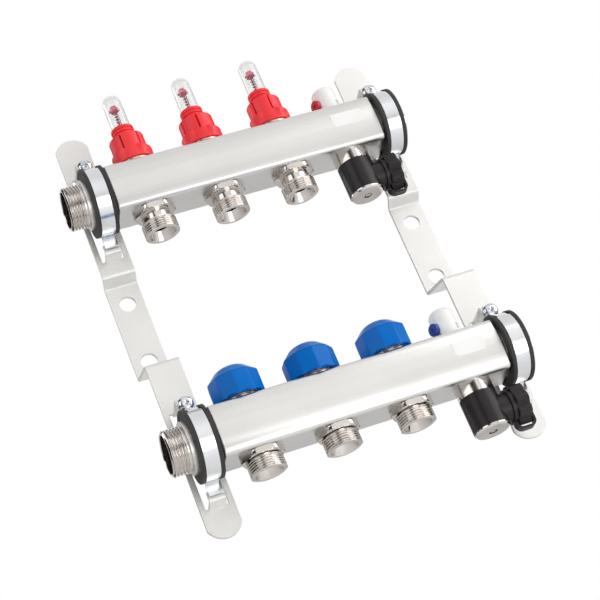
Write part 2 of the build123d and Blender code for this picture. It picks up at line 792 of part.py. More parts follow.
def make_drain(prefix, axis):
    """Nickel connector, black body with its branch, branch cap, and closing spindle."""
    y, z = axis
    plane = side_plane(service_place, y, z - bar_top)
    hex_low = -drain_hex_height
    body_low = hex_low - drain_body_height
    disc_low = body_low - drain_disc_height
    recess_top = disc_low + drain_recess_depth
    core, disc = drain_core / 2, drain_body_diameter / 2 - turn_gap
    shank, recess = drain_shank / 2, drain_recess / 2
    spindle_bore = spindle_diameter / 2 + fit_gap
    spindle_top = recess_top + spindle_length
    branch_plane = Plane(origin=(service_place, y, z - bar_top - branch_drop),
                         x_dir=(0, 1, 0), z_dir=(1, 0, 0))
    with BuildPart() as connector:
        turned(plane, [
            (0, bar_wall + drain_shank_rise), (shank, bar_wall + drain_shank_rise), (shank, hex_low / 2),
            (core, hex_low / 2), (core, body_low), (disc, body_low), (disc, disc_low + drain_disc_chamfer),
            (disc - drain_disc_chamfer, disc_low), (0, disc_low)])
        with BuildSketch(flat_plane(service_place, y, z - bar_top)):
            RegularPolygon(drain_hex / 2, 6, major_radius=False, rotation=drain_hex_turn)
            Circle(drain_hex_corner / 2, mode=Mode.INTERSECT)
        extrude(amount=-drain_hex_height)
        turned(plane, [
            (0, bar_wall + drain_shank_rise), (core - drain_core_wall, bar_wall + drain_shank_rise),
            (core - drain_core_wall, spindle_top), (spindle_bore, spindle_top),
            (spindle_bore, recess_top), (recess, recess_top), (recess, disc_low), (0, disc_low)],
            mode=Mode.SUBTRACT)
        with BuildSketch(branch_plane):
            Circle(core - drain_core_wall)
        extrude(amount=core + fit_gap, mode=Mode.SUBTRACT)
    keep(connector, f"{prefix}_drain_connector")

    with BuildPart() as body:
        with BuildSketch(flat_plane(service_place, y, z - bar_top + body_low)):
            Circle(drain_body_diameter / 2)
        extrude(amount=drain_body_height)
        with BuildSketch(branch_plane):
            Circle(branch_neck / 2)
        extrude(amount=branch_neck_reach)
        with BuildSketch(branch_plane.offset(branch_neck_reach)):
            Circle(branch_spigot / 2)
        extrude(amount=branch_spigot_reach - branch_neck_reach)
        drilled(flat_plane(service_place, y, z - bar_top + body_low), drain_core + 2 * fit_gap,
                drain_body_height)
        drilled(branch_plane, branch_bore, branch_spigot_reach)
    keep(body, f"{prefix}_drain_body")

    cap_start = branch_neck_reach + turn_gap
    cap_inside = branch_spigot_reach + turn_gap
    cap_end = cap_inside + drain_cap_end
    with BuildPart() as cap:
        outline = lobed(branch_plane.offset(cap_start), drain_cap_diameter, drain_cap_lobe, drain_cap_lobes)
        extrude(outline, amount=cap_end - cap_start)
        with BuildSketch(branch_plane.offset(cap_end)):
            Circle(strap_button / 2)
        extrude(amount=strap_button_height)
        with BuildSketch(branch_plane.offset(cap_start)):
            Circle(branch_spigot / 2 + turn_gap)
        extrude(amount=cap_inside - cap_start, mode=Mode.SUBTRACT)
    keep(cap, f"{prefix}_drain_cap")

    with BuildPart() as spindle:
        turned(plane, [
            (0, recess_top), (spindle_diameter / 2, recess_top), (spindle_diameter / 2, spindle_top),
            (0, spindle_top)])
        with BuildSketch(flat_plane(service_place, y, z - bar_top + recess_top)):
            Rectangle(spindle_square, spindle_square)
        extrude(amount=-(drain_recess_depth - turn_gap))
    keep(spindle, f"{prefix}_drain_spindle")


def add_strap(axis):
    """Retaining strap from a ring on the branch neck to a ring round the cap's button."""
    y, z = axis
    level = z - bar_top - branch_drop
    branch_plane = Plane(origin=(service_place, y, level), x_dir=(0, 1, 0), z_dir=(1, 0, 0))
    ring_inner, ring_outer = branch_neck / 2 + fit_gap, branch_neck / 2 + strap_thickness
    ring_start = branch_neck_reach - strap_ring_width
    cap_end = branch_spigot_reach + turn_gap + drain_cap_end
    low = -drain_cap_diameter / 2 - strap_drop
    tail = cap_end + turn_gap + strap_thickness / 2
    with BuildSketch(branch_plane.offset(ring_start)) as ring:
        Circle(ring_outer)
        Circle(ring_inner, mode=Mode.SUBTRACT)
    extrude(ring.sketch, amount=strap_ring_width)
    with BuildSketch(branch_plane.offset(cap_end + turn_gap)) as eye:
        Circle(strap_button / 2 + turn_gap + strap_thickness)
        Circle(strap_button / 2 + turn_gap, mode=Mode.SUBTRACT)
    extrude(eye.sketch, amount=strap_thickness)
    middle = (ring_inner + ring_outer) / 2
    folded(side_plane(service_place, y, level), [
        (ring_start + strap_thickness / 2, -middle), (ring_start + strap_thickness / 2, low),
        (tail, low), (tail, -strap_button / 2 - turn_gap - strap_thickness / 2)],
        strap_thickness, strap_width, strap_bend)


make_drain("supply", supply_axis)
make_drain("return", return_axis)

with BuildPart() as drain_straps:
    add_strap(supply_axis)
    add_strap(return_axis)
keep(drain_straps, "drain_straps")
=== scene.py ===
"""Dressed model of a three-circuit stainless steel heating manifold on two wall brackets.

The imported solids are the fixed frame. Each class below is one sub-assembly: it holds its sizes in
millimetres and dresses or replaces the solids that belong to it. The finished meshes are in metres.
"""

import logging
import math
from dataclasses import dataclass
from enum import Enum
from typing import Callable, Iterable, Sequence, Union

import bmesh
import bpy
from mathutils import Matrix, Vector


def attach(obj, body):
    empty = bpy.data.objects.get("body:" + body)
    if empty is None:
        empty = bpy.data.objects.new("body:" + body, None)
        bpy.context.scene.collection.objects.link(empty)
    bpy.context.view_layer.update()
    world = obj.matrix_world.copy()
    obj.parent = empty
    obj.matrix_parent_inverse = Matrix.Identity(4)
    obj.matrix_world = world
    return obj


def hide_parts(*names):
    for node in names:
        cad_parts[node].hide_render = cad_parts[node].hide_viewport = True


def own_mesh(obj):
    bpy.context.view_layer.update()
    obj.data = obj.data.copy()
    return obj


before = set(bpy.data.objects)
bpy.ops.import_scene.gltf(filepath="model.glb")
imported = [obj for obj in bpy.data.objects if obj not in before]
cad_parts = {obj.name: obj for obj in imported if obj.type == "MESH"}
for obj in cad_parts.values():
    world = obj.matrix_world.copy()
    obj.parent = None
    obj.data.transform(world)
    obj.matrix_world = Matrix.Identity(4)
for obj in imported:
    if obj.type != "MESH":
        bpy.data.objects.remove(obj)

logging.basicConfig(level=logging.INFO, format="%(message)s")
log = logging.getLogger("manifold")

MM = 0.001

# Smallest radius, and smallest distance between two corners, that still count as something
POINT_LIKE = 1e-6
JOINED = 1e-7
WELD_REACH = 2e-6

# How far light scatters in a soft plastic, in metres, and how wide the band of painted edge shade on a
# clear cover is
SCATTER_REACH = 0.004
EDGE_SHADE_WIDTH = 0.32

# The middle span of a noise, which the finishes stretch to their own span, and the least roughness
NOISE_LOW, NOISE_HIGH = 0.3, 0.7
LEAST_ROUGHNESS = 0.01

Point = tuple[float, float, float]
Colour = tuple[float, float, float]
Measure = Union[float, Callable[[float], float]]
Ring = tuple[Measure, Measure]
Stop = tuple[float, float]


# Node helpers
def feed(tree: bpy.types.NodeTree, given: object, socket: bpy.types.NodeSocket) -> None:
    """Link a socket to another, or set it to a plain value."""
    if isinstance(given, bpy.types.NodeSocket):
        tree.links.new(given, socket)
    else:
        socket.default_value = given


def math_node(tree: bpy.types.NodeTree, operation: str, first: object,
              second: object = 0.0) -> bpy.types.NodeSocket:
    """Add a math node of sockets or numbers and return its result."""
    made = tree.nodes.new("ShaderNodeMath")
    made.operation = operation
    for given, socket in zip((first, second), made.inputs):
        feed(tree, given, socket)
    return made.outputs[0]


def mix_node(tree: bpy.types.NodeTree, share: bpy.types.NodeSocket, low: object, high: object,
             kind: str = "FLOAT") -> bpy.types.NodeSocket:
    """Return low where the share is zero and high where it is one."""
    made = tree.nodes.new("ShaderNodeMix")
    made.data_type = kind
    for name, given in (("Factor", share), ("A", low), ("B", high)):
        feed(tree, given, made.inputs[name])
    return made.outputs["Result"]


def ramp_node(tree: bpy.types.NodeTree, source: bpy.types.NodeSocket, start: Stop, end: Stop,
              kind: str = "LINEAR") -> bpy.types.NodeSocket:
    """Map a value between two stops, each a value and its result."""
    made = tree.nodes.new("ShaderNodeMapRange")
    made.interpolation_type = kind
    for name, given in (("From Min", start[0]), ("From Max", end[0]), ("To Min", start[1]),
                        ("To Max", end[1])):
        made.inputs[name].default_value = given
    tree.links.new(source, made.inputs["Value"])
    return made.outputs["Result"]


# Finishes
class Grain(Enum):
    """How the surface pattern of a finish runs."""

    ALONG_X = (6.0, 900.0, 900.0)
    ALONG_Z = (900.0, 900.0, 12.0)
    EVEN = (1.0, 1.0, 1.0)
    TURNED = (260.0, 260.0, 2600.0)


@dataclass(frozen=True)
class Finish:
    """A procedural finish on Object coordinates.

    The colour wanders between two tones with a slow noise, the roughness with the grain, and the
    grain also drives a fine bump.
    """

    name: str
    slot: str
    tone: Colour
    tone_low: Colour
    metallic: float = 0.0
    roughness: float = 0.4
    roughness_swing: float = 0.06
    grain: Grain = Grain.EVEN
    grain_size: float = 900.0
    drift_size: float = 30.0
    bump: float = 0.05
    bump_depth: float = 0.00005
    coat: float = 0.0
    transmission: float = 0.0
    subsurface: float = 0.0
    ior: float = 1.5
    soft_edge: float = 0.0
    # Colour that a clear wall is painted towards where it is seen edge on, as painted shade; 1.0 paints
    # none
    rim: float = 1.0

    def material(self) -> bpy.types.Material:
        """Return the Blender material, built once.

        Returns:
            The material with its node tree.
        """
        found = bpy.data.materials.get(self.name)
        if found is not None:
            return found
        made = bpy.data.materials.new(self.name)
        made.use_nodes = True
        tree = made.node_tree
        shader = tree.nodes["Principled BSDF"]
        shader.inputs["Metallic"].default_value = self.metallic
        shader.inputs["IOR"].default_value = self.ior
        shader.inputs["Coat Weight"].default_value = self.coat
        shader.inputs["Transmission Weight"].default_value = self.transmission
        shader.inputs["Subsurface Weight"].default_value = self.subsurface
        shader.inputs["Subsurface Scale"].default_value = SCATTER_REACH
        place = tree.nodes.new("ShaderNodeTexCoord").outputs["Object"]
        drift = self._noise(tree, place, (self.drift_size,) * 3, 3.0)
        scale = self.grain.value
        if self.grain is Grain.EVEN:
            scale = (self.grain_size,) * 3
        grain = self._noise(tree, place, scale, 4.0)
        colour = mix_node(tree, self._span(tree, drift, 0.0, 1.0), (*self.tone_low, 1.0),
                          (*self.tone, 1.0), "RGBA")
        # Painted shade: the colour darkens towards a clear wall's edges, by the angle at which it is
        # seen
        if self.rim < 1.0:
            colour = self._painted_edge_shade(tree, colour)
        tree.links.new(colour, shader.inputs["Base Color"])
        low, high = self.roughness - self.roughness_swing, self.roughness + self.roughness_swing
        gloss = self._span(tree, grain, max(low, LEAST_ROUGHNESS), high)
        tree.links.new(gloss, shader.inputs["Roughness"])
        bump = tree.nodes.new("ShaderNodeBump")
        bump.inputs["Strength"].default_value = self.bump
        bump.inputs["Distance"].default_value = self.bump_depth
        tree.links.new(grain, bump.inputs["Height"])
        if self.soft_edge:
            edge = tree.nodes.new("ShaderNodeBevel")
            edge.samples = 4
            edge.inputs["Radius"].default_value = self.soft_edge
            tree.links.new(edge.outputs["Normal"], bump.inputs["Normal"])
        tree.links.new(bump.outputs["Normal"], shader.inputs["Normal"])
        made.diffuse_color = (*self.tone, 1.0)
        return made

    def _painted_edge_shade(self, tree: bpy.types.NodeTree, colour: bpy.types.NodeSocket) -> bpy.types.NodeSocket:
        """Paint shade on a clear cover where its wall is seen edge on, standing in for the darker
        refracted edge of the wall.

        Args:
            tree: The material's node tree.
            colour: The colour seen face on.

        Returns:
            The colour output.
        """
        facing = tree.nodes.new("ShaderNodeLayerWeight")
        facing.inputs["Blend"].default_value = EDGE_SHADE_WIDTH
        return mix_node(tree, facing.outputs["Facing"], colour, (*(self.rim,) * 3, 1.0), "RGBA")

    @staticmethod
    def _noise(tree: bpy.types.NodeTree, place: bpy.types.NodeSocket, scale: Point,
               detail: float) -> bpy.types.NodeSocket:
        """Add a stretched noise.

        Args:
            tree: The material's node tree.
            place: The coordinate output.
            scale: Pattern repeats per metre on each axis.
            detail: Number of octaves.

        Returns:
            The noise factor output.
        """
        mapping = tree.nodes.new("ShaderNodeMapping")
        mapping.inputs["Scale"].default_value = scale
        noise = tree.nodes.new("ShaderNodeTexNoise")
        noise.inputs["Scale"].default_value = 1.0
        noise.inputs["Detail"].default_value = detail
        tree.links.new(place, mapping.inputs["Vector"])
        tree.links.new(mapping.outputs["Vector"], noise.inputs["Vector"])
        return noise.outputs["Fac"]

    @staticmethod
    def _span(tree: bpy.types.NodeTree, source: bpy.types.NodeSocket, low: float,
              high: float) -> bpy.types.NodeSocket:
        """Map the middle of a noise to a range.

        Args:
            tree: The material's node tree.
            source: The noise factor.
            low: Value where the noise is low.
            high: Value where the noise is high.

        Returns:
            The mapped output.
        """
        return ramp_node(tree, source, (NOISE_LOW, low), (NOISE_HIGH, high))


STAINLESS = Finish("brushed_stainless", "stainless_steel", (0.83, 0.82, 0.80), (0.765, 0.755, 0.735),
                   metallic=1.0, roughness=0.3, roughness_swing=0.035, grain=Grain.ALONG_X,
                   drift_size=14.0, bump=0.05, bump_depth=0.00002, soft_edge=0.0004)
NECK_STEEL = Finish("turned_stainless", "stainless_steel", (0.72, 0.71, 0.69), (0.62, 0.61, 0.59),
                    metallic=1.0, roughness=0.25, bump=0.06)
ZINC = Finish("bright_zinc", "zinc_plated_steel", (0.88, 0.87, 0.845), (0.82, 0.81, 0.78),
              metallic=0.6, roughness=0.4, roughness_swing=0.07, grain_size=420.0, drift_size=22.0,
              bump=0.05, soft_edge=0.0003)
BAND_ZINC = Finish("polished_zinc", "zinc_plated_steel", (0.86, 0.87, 0.88), (0.78, 0.79, 0.82),
                   metallic=1.0, roughness=0.2, roughness_swing=0.03, grain_size=300.0, drift_size=40.0,
                   bump=0.015, soft_edge=0.0002)
SCREW_ZINC = Finish("screw_zinc", "zinc_plated_steel", (0.80, 0.82, 0.86), (0.62, 0.65, 0.71),
                    metallic=1.0, roughness=0.2, grain_size=700.0, bump=0.05)
RUBBER = Finish("soft_rubber", "black_rubber", (0.042, 0.040, 0.038), (0.028, 0.027, 0.026),
                roughness=0.58, roughness_swing=0.1, grain_size=1500.0, bump=0.18, ior=1.42)
NICKEL = Finish("nickel_plate", "nickel_plated_brass", (0.80, 0.755, 0.72), (0.62, 0.575, 0.54),
                metallic=1.0, roughness=0.14, roughness_swing=0.05, grain=Grain.TURNED, drift_size=60.0,
                bump=0.05)
BRASS = Finish("machined_brass", "brass", (0.78, 0.62, 0.47), (0.64, 0.48, 0.34),
               metallic=1.0, roughness=0.26, grain=Grain.TURNED, drift_size=60.0, bump=0.06)
RED = Finish("red_polyamide", "red_plastic", (0.95, 0.045, 0.055), (0.88, 0.028, 0.040),
             roughness=0.42, roughness_swing=0.05, grain_size=2200.0, bump=0.06, ior=1.45)
INDICATOR = Finish("indicator_pink", "red_plastic", (0.86, 0.25, 0.34), (0.74, 0.14, 0.22),
                   roughness=0.35, bump=0.04)
# The clear cover's rim value paints shade on its edges, where the wall is seen edge on
CLEAR = Finish("clear_cover", "clear_plastic", (0.93, 0.935, 0.925), (0.90, 0.905, 0.895),
               roughness=0.02, roughness_swing=0.01, transmission=1.0, ior=1.3, grain_size=60.0,
               bump=0.01, bump_depth=0.00001, rim=0.6)
SPRING = Finish("spring_wire", "spring_steel", (0.30, 0.30, 0.31), (0.16, 0.16, 0.17),
                metallic=1.0, roughness=0.3, bump=0.05)
BLUE = Finish("blue_abs", "blue_plastic", (0.0, 0.155, 0.56), (0.0, 0.120, 0.47),
              roughness=0.3, roughness_swing=0.04, grain_size=1800.0, bump=0.04, ior=1.22)
WHITE = Finish("white_acetal", "white_plastic", (0.92, 0.915, 0.90), (0.86, 0.855, 0.84),
               roughness=0.36, grain_size=1500.0, bump=0.05, subsurface=0.2)
BLACK = Finish("black_nylon", "black_plastic", (0.020, 0.016, 0.017), (0.012, 0.010, 0.011),
               roughness=0.33, roughness_swing=0.06, grain_size=1600.0, bump=0.1, ior=1.38)
LABEL = Finish("label_foil", "white_plastic", (0.95, 0.945, 0.93), (0.92, 0.915, 0.90),
               roughness=0.5, bump=0.03)
RED_MARK = Finish("red_ring_plastic", "red_plastic", (0.66, 0.02, 0.05), (0.5, 0.015, 0.04),
                  roughness=0.4)
BLUE_MARK = Finish("blue_ring_plastic", "blue_plastic", (0.02, 0.06, 0.34), (0.01, 0.04, 0.26),
                   roughness=0.4)


# Mesh tools
@dataclass(frozen=True)
class Station:
    """A place in the shared frame that a turned piece is built on.

    Attributes:
        centre: Origin of the heights, in millimetres.
        up: Direction in which the heights grow.
        zero: Direction of angle zero.
    """

    centre: Point
    up: Point = (0.0, 0.0, 1.0)
    zero: Point = (1.0, 0.0, 0.0)

    def at(self, radius: float, angle: float, height: float) -> Vector:
        """Return the place of a cylindrical coordinate, in metres."""
        up = Vector(self.up)
        zero = Vector(self.zero)
        side = up.cross(zero)
        spot = Vector(self.centre) + up * height
        spot += (zero * math.cos(angle) + side * math.sin(angle)) * radius
        return spot * MM


def value(measure: Measure, angle: float) -> float:
    """Return a measure that may depend on the angle."""
    return measure(angle) if callable(measure) else measure


def closed_mesh(name: str, build: bmesh.types.BMesh) -> bpy.types.Mesh:
    """Turn a bmesh into a mesh with joined corners and outward faces, and free it."""
    bmesh.ops.remove_doubles(build, verts=build.verts, dist=JOINED)
    bmesh.ops.recalc_face_normals(build, faces=build.faces)
    mesh = bpy.data.meshes.new(name)
    build.to_mesh(mesh)
    build.free()
    return mesh


def place_piece(name: str, mesh: bpy.types.Mesh, finish: Finish, body: str,
                stands_for: Sequence[str] = (), sharp: float = 32.0) -> bpy.types.Object:
    """Make a finished piece of a mesh that lies in the shared frame.

    Args:
        name: Piece name.
        mesh: Its mesh, in metres.
        finish: Its finish.
        body: The body that it rides on.
        stands_for: The solids that it replaces.
        sharp: Edges sharper than this many degrees stay crisp.

    Returns:
        The new object.
    """
    mesh.polygons.foreach_set("use_smooth", [True] * len(mesh.polygons))
    mesh.set_sharp_from_angle(angle=math.radians(sharp))
    mesh.materials.clear()
    mesh.materials.append(finish.material())
    made = bpy.data.objects.new(name, mesh)
    bpy.context.scene.collection.objects.link(made)
    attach(made, body)
    if stands_for:
        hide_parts(*stands_for)
    log.info("made %s: %d faces on %s", name, len(mesh.polygons), body)
    return made


def spin(build: bmesh.types.BMesh, station: Station, rings: Sequence[Ring], segments: int,
         loop: bool = False) -> None:
    """Add a turned surface whose radius and height may change with the angle.

    Args:
        build: The mesh that takes it.
        station: Where the piece is built.
        rings: Radius and height of each ring, from one end to the other.
        segments: Number of steps round.
        loop: Whether the last ring joins the first, as in a hollow piece.
    """
    rows: list[list[bmesh.types.BMVert]] = []
    for radius, height in rings:
        if not callable(radius) and radius < POINT_LIKE:
            pole = build.verts.new(station.at(0.0, 0.0, value(height, 0.0)))
            rows.append([pole])
            continue
        row = []
        for step in range(segments):
            angle = 2 * math.pi * step / segments
            row.append(build.verts.new(station.at(value(radius, angle), angle, value(height, angle))))
        rows.append(row)
    pairs = list(zip(rows, rows[1:]))
    if loop:
        pairs.append((rows[-1], rows[0]))
    for lower, upper in pairs:
        for step in range(segments):
            after = (step + 1) % segments
            corners = [lower[step % len(lower)], lower[after % len(lower)],
                       upper[after % len(upper)], upper[step % len(upper)]]
            unique = list(dict.fromkeys(corners))
            if len(unique) > 2:
                build.faces.new(unique)


def turned_piece(name: str, station: Station, outlines: Sequence[Sequence[Ring]], segments: int,
                 finish: Finish, body: str, stands_for: Sequence[str] = (), sharp: float = 32.0,
                 loop: bool = False) -> bpy.types.Object:
    """Turn outlines into one piece of the object; see spin and place_piece for the arguments."""
    build = bmesh.new()
    for rings in outlines:
        spin(build, station, rings, segments, loop)
    return place_piece(name, closed_mesh(name, build), finish, body, stands_for, sharp)


def polygon_radius(flats: float, sides: int, corner: float = 0.0) -> Callable[[float], float]:
    """Return the radius of a regular polygon by angle, with corners at multiples of its step.

    Args:
        flats: Size across opposite flats, or twice the inner radius.
        sides: Number of sides.
        corner: Largest radius, which trims the corners; zero leaves them sharp.
    """
    step = 2 * math.pi / sides

    def radius(angle: float) -> float:
        """Return the radius at an angle."""
        off = (angle % step) - step / 2
        reach = flats / 2 / math.cos(off)
        return min(reach, corner) if corner else reach

    return radius


@dataclass(frozen=True)
class Thread:
    """An outside screw thread along a turned piece."""

    major: float
    pitch: float
    low: float
    high: float
    depth: float
    run_out: float = 0.7
    narrowness: float = 1.3

    def rings(self, per_turn: int = 12) -> list[Ring]:
        """Return the rings of the thread, from low to high.

        Args:
            per_turn: Rings for each pitch.

        Returns:
            Radius and height pairs, the radius by angle.
        """
        count = max(2, round((self.high - self.low) / self.pitch * per_turn))
        made: list[Ring] = []
        for i in range(count + 1):
            height = self.low + (self.high - self.low) * i / count
            made.append((self._radius(height), height))
        return made

    def _radius(self, height: float) -> Callable[[float], float]:
        """Return the radius by angle at one height."""
        fade = min(1.0, (height - self.low) / (self.run_out * self.pitch),
                   (self.high - height) / (self.run_out * self.pitch))

        def radius(angle: float) -> float:
            """Return the radius of the helical groove."""
            phase = (height / self.pitch - angle / (2 * math.pi)) % 1.0
            groove = (0.5 - 0.5 * math.cos(2 * math.pi * phase)) ** self.narrowness
            return self.major / 2 - self.depth * groove * max(0.0, fade)

        return radius


class Pattern:
    """A Geometry Nodes tree for something that repeats, with its sizes as named inputs."""

    def __init__(self, name: str, finish: Finish) -> None:
        """Start the tree.

        Args:
            name: Name of the tree.
            finish: Finish of what it makes.
        """
        self.tree = bpy.data.node_groups.new(name, "GeometryNodeTree")
        self.finish = finish
        self.keys: dict[str, str] = {}
        self.tree.interface.new_socket("Geometry", in_out="INPUT", socket_type="NodeSocketGeometry")
        self.tree.interface.new_socket("Geometry", in_out="OUTPUT", socket_type="NodeSocketGeometry")
        self.source = self.tree.nodes.new("NodeGroupInput")

    def size(self, name: str, kind: str = "Float") -> bpy.types.NodeSocket:
        """Add a named input.

        Args:
            name: Name of the input.
            kind: Float, Int or Vector.

        Returns:
            The socket that carries its value inside the tree.
        """
        made = self.tree.interface.new_socket(name, in_out="INPUT", socket_type=f"NodeSocket{kind}")
        self.keys[name] = made.identifier
        return self.source.outputs[name]

    def node(self, kind: str, **inputs: object) -> bpy.types.Node:
        """Add a node.

        Args:
            kind: The node type.
            inputs: Sockets to link or values to set, by input name with underscores for spaces.

        Returns:
            The node.
        """
        made = self.tree.nodes.new(kind)
        for name, given in inputs.items():
            feed(self.tree, given, made.inputs[name.replace("_", " ")])
        return made

    def math(self, operation: str, first: object, second: object = 0.0) -> bpy.types.NodeSocket:
        """Add a math node of sockets or numbers and return its result."""
        return math_node(self.tree, operation, first, second)

    def close(self, geometry: bpy.types.NodeSocket) -> None:
        """End the tree: real geometry with its material."""
        real = self.node("GeometryNodeRealizeInstances", Geometry=geometry)
        painted = self.node("GeometryNodeSetMaterial", Geometry=real.outputs[0],
                            Material=self.finish.material())
        end = self.tree.nodes.new("NodeGroupOutput")
        self.tree.links.new(painted.outputs[0], end.inputs[0])

    def run(self, name: str, mesh: bpy.types.Mesh, sizes: dict[str, object]) -> bpy.types.Mesh:
        """Run the tree on a mesh.

        Args:
            name: Name of the result.
            mesh: The mesh that goes in.
            sizes: Values of the named inputs.

        Returns:
            A plain mesh.
        """
        carrier = bpy.data.objects.new(f"{name}_carrier", mesh)
        bpy.context.scene.collection.objects.link(carrier)
        modifier = carrier.modifiers.new("pattern", "NODES")
        modifier.node_group = self.tree
        for key, given in sizes.items():
            modifier[self.keys[key]] = given
        evaluated = carrier.evaluated_get(bpy.context.evaluated_depsgraph_get())
        made = bpy.data.meshes.new_from_object(evaluated)
        made.name = name
        carrier.modifiers.remove(modifier)
        bpy.data.objects.remove(carrier)
        return made


def dress(names: Iterable[str], finish: Finish, crisp: float = 30.0) -> None:
    """Give solids that keep their shape a finish and smooth shading on their round faces.

    Args:
        names: The solids.
        finish: The finish.
        crisp: Edges sharper than this many degrees stay crisp.
    """
    for name in names:
        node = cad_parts[name]
        node.data.materials.clear()
        node.data.materials.append(finish.material())
        node.data.polygons.foreach_set("use_smooth", [True] * len(node.data.polygons))
        weld = node.modifiers.new("join", "WELD")
        weld.merge_threshold = WELD_REACH
        split = node.modifiers.new("crisp", "EDGE_SPLIT")
        split.split_angle = math.radians(crisp)
        log.info("dressed %s with %s", name, finish.name)


# Layout shared by all sub-assemblies
@dataclass(frozen=True)
class Bar:
    """One bar of the manifold: its name and the place of its axis."""

    name: str
    y: float
    z: float
    top: float = 19.25
    neck_end: float = -126.0
    circuits: tuple[float, ...] = (-78.5, -23.5, 31.5)
    service: float = 79.0

    def above(self, x: float, turn: float = 0.0) -> Station:
        """Return the upright station over the axis at a place along the bar."""
        a = math.radians(turn)
        return Station((x, self.y, self.z), zero=(math.cos(a), math.sin(a), 0.0))

    def below(self, x: float) -> Station:
        """Return the hanging station at the underside of the bar."""
        return Station((x, self.y, self.z - self.top), up=(0.0, 0.0, -1.0))


SUPPLY = Bar("supply", -37.5, 94.5)
RETURN = Bar("return", -69.5, -123.5)
BARS = (SUPPLY, RETURN)
SIDES = ("left", "right")


@dataclass
class Bars:
    """The two bars with their labels, pipe nipples and end plugs."""

    thread_diameter: float = 33.25
    thread_pitch: float = 2.309
    thread_depth: float = 1.3
    reach: float = 14.0
    inside: float = 12.0
    shank: float = 15.9
    bore: float = 27.6
    rim: float = 31.0
    label_width: float = 24.0
    label_height: float = 13.5
    label_place: float = 82.0
    label_thickness: float = 0.12
    label_rise: float = 2.0
    label_edge: float = 0.1
    bulge: float = 20.0
    flat: float = 16.25

    def build(self) -> None:
        """Dress the bars and build the nipples and labels."""
        dress(["supply_bar", "return_bar"], STAINLESS)
        dress(["end_plugs"], NICKEL)
        for bar in BARS:
            self.nipple(bar)
            self.label(bar)

    def nipple(self, bar: Bar) -> None:
        """Build the threaded end of a bar."""
        station = Station((bar.neck_end, bar.y, bar.z), up=(-1.0, 0.0, 0.0), zero=(0.0, 0.0, 1.0))
        outer, bore, rim = self.thread_diameter / 2, self.bore / 2, self.rim / 2
        thread = Thread(self.thread_diameter, self.thread_pitch, 1.7, self.reach - 1.0,
                        self.thread_depth)
        rings: list[Ring] = [(bore, -self.inside), (bore, self.reach - 0.5), (bore + 0.4, self.reach)]
        rings += [(rim - 0.3, self.reach), (rim, self.reach - 0.2), (rim + 0.5, self.reach - 0.7)]
        rings += list(reversed(thread.rings()))
        rings += [(outer - 1.0, 1.5), (outer - 1.0, 0.0), (self.shank, 0.0), (self.shank, -self.inside)]
        turned_piece(f"{bar.name}_nipple_threaded", station, [rings], 120, NICKEL, "manifold",
                     [f"{bar.name}_nipple"], loop=True)

    def label(self, bar: Bar) -> None:
        """Lay a blank foil label on the bulged front of a bar."""
        build = bmesh.new()
        rows = []
        across, along = 16, 12
        rise = self.bulge - self.flat
        arc = (bar.top ** 2 + rise ** 2) / (2 * rise)
        for i in range(across + 1):
            row = []
            for j in range(along + 1):
                u = (i / across - 0.5) * self.label_height
                inside = 0 < i < across and 0 < j < along
                lift = self.label_thickness * (1.0 if inside else self.label_edge)
                x = self.label_place + (j / along - 0.5) * self.label_width
                out = self.bulge - arc + math.sqrt(arc ** 2 - u ** 2) + lift
                row.append(build.verts.new(Vector((x, bar.y - out, bar.z + u + self.label_rise)) * MM))
            rows.append(row)
        for lower, upper in zip(rows, rows[1:]):
            for j in range(along):
                build.faces.new([lower[j], lower[j + 1], upper[j + 1], upper[j]])
        name = f"{bar.name}_blank_label"
        place_piece(name, closed_mesh(name, build), LABEL, "manifold")


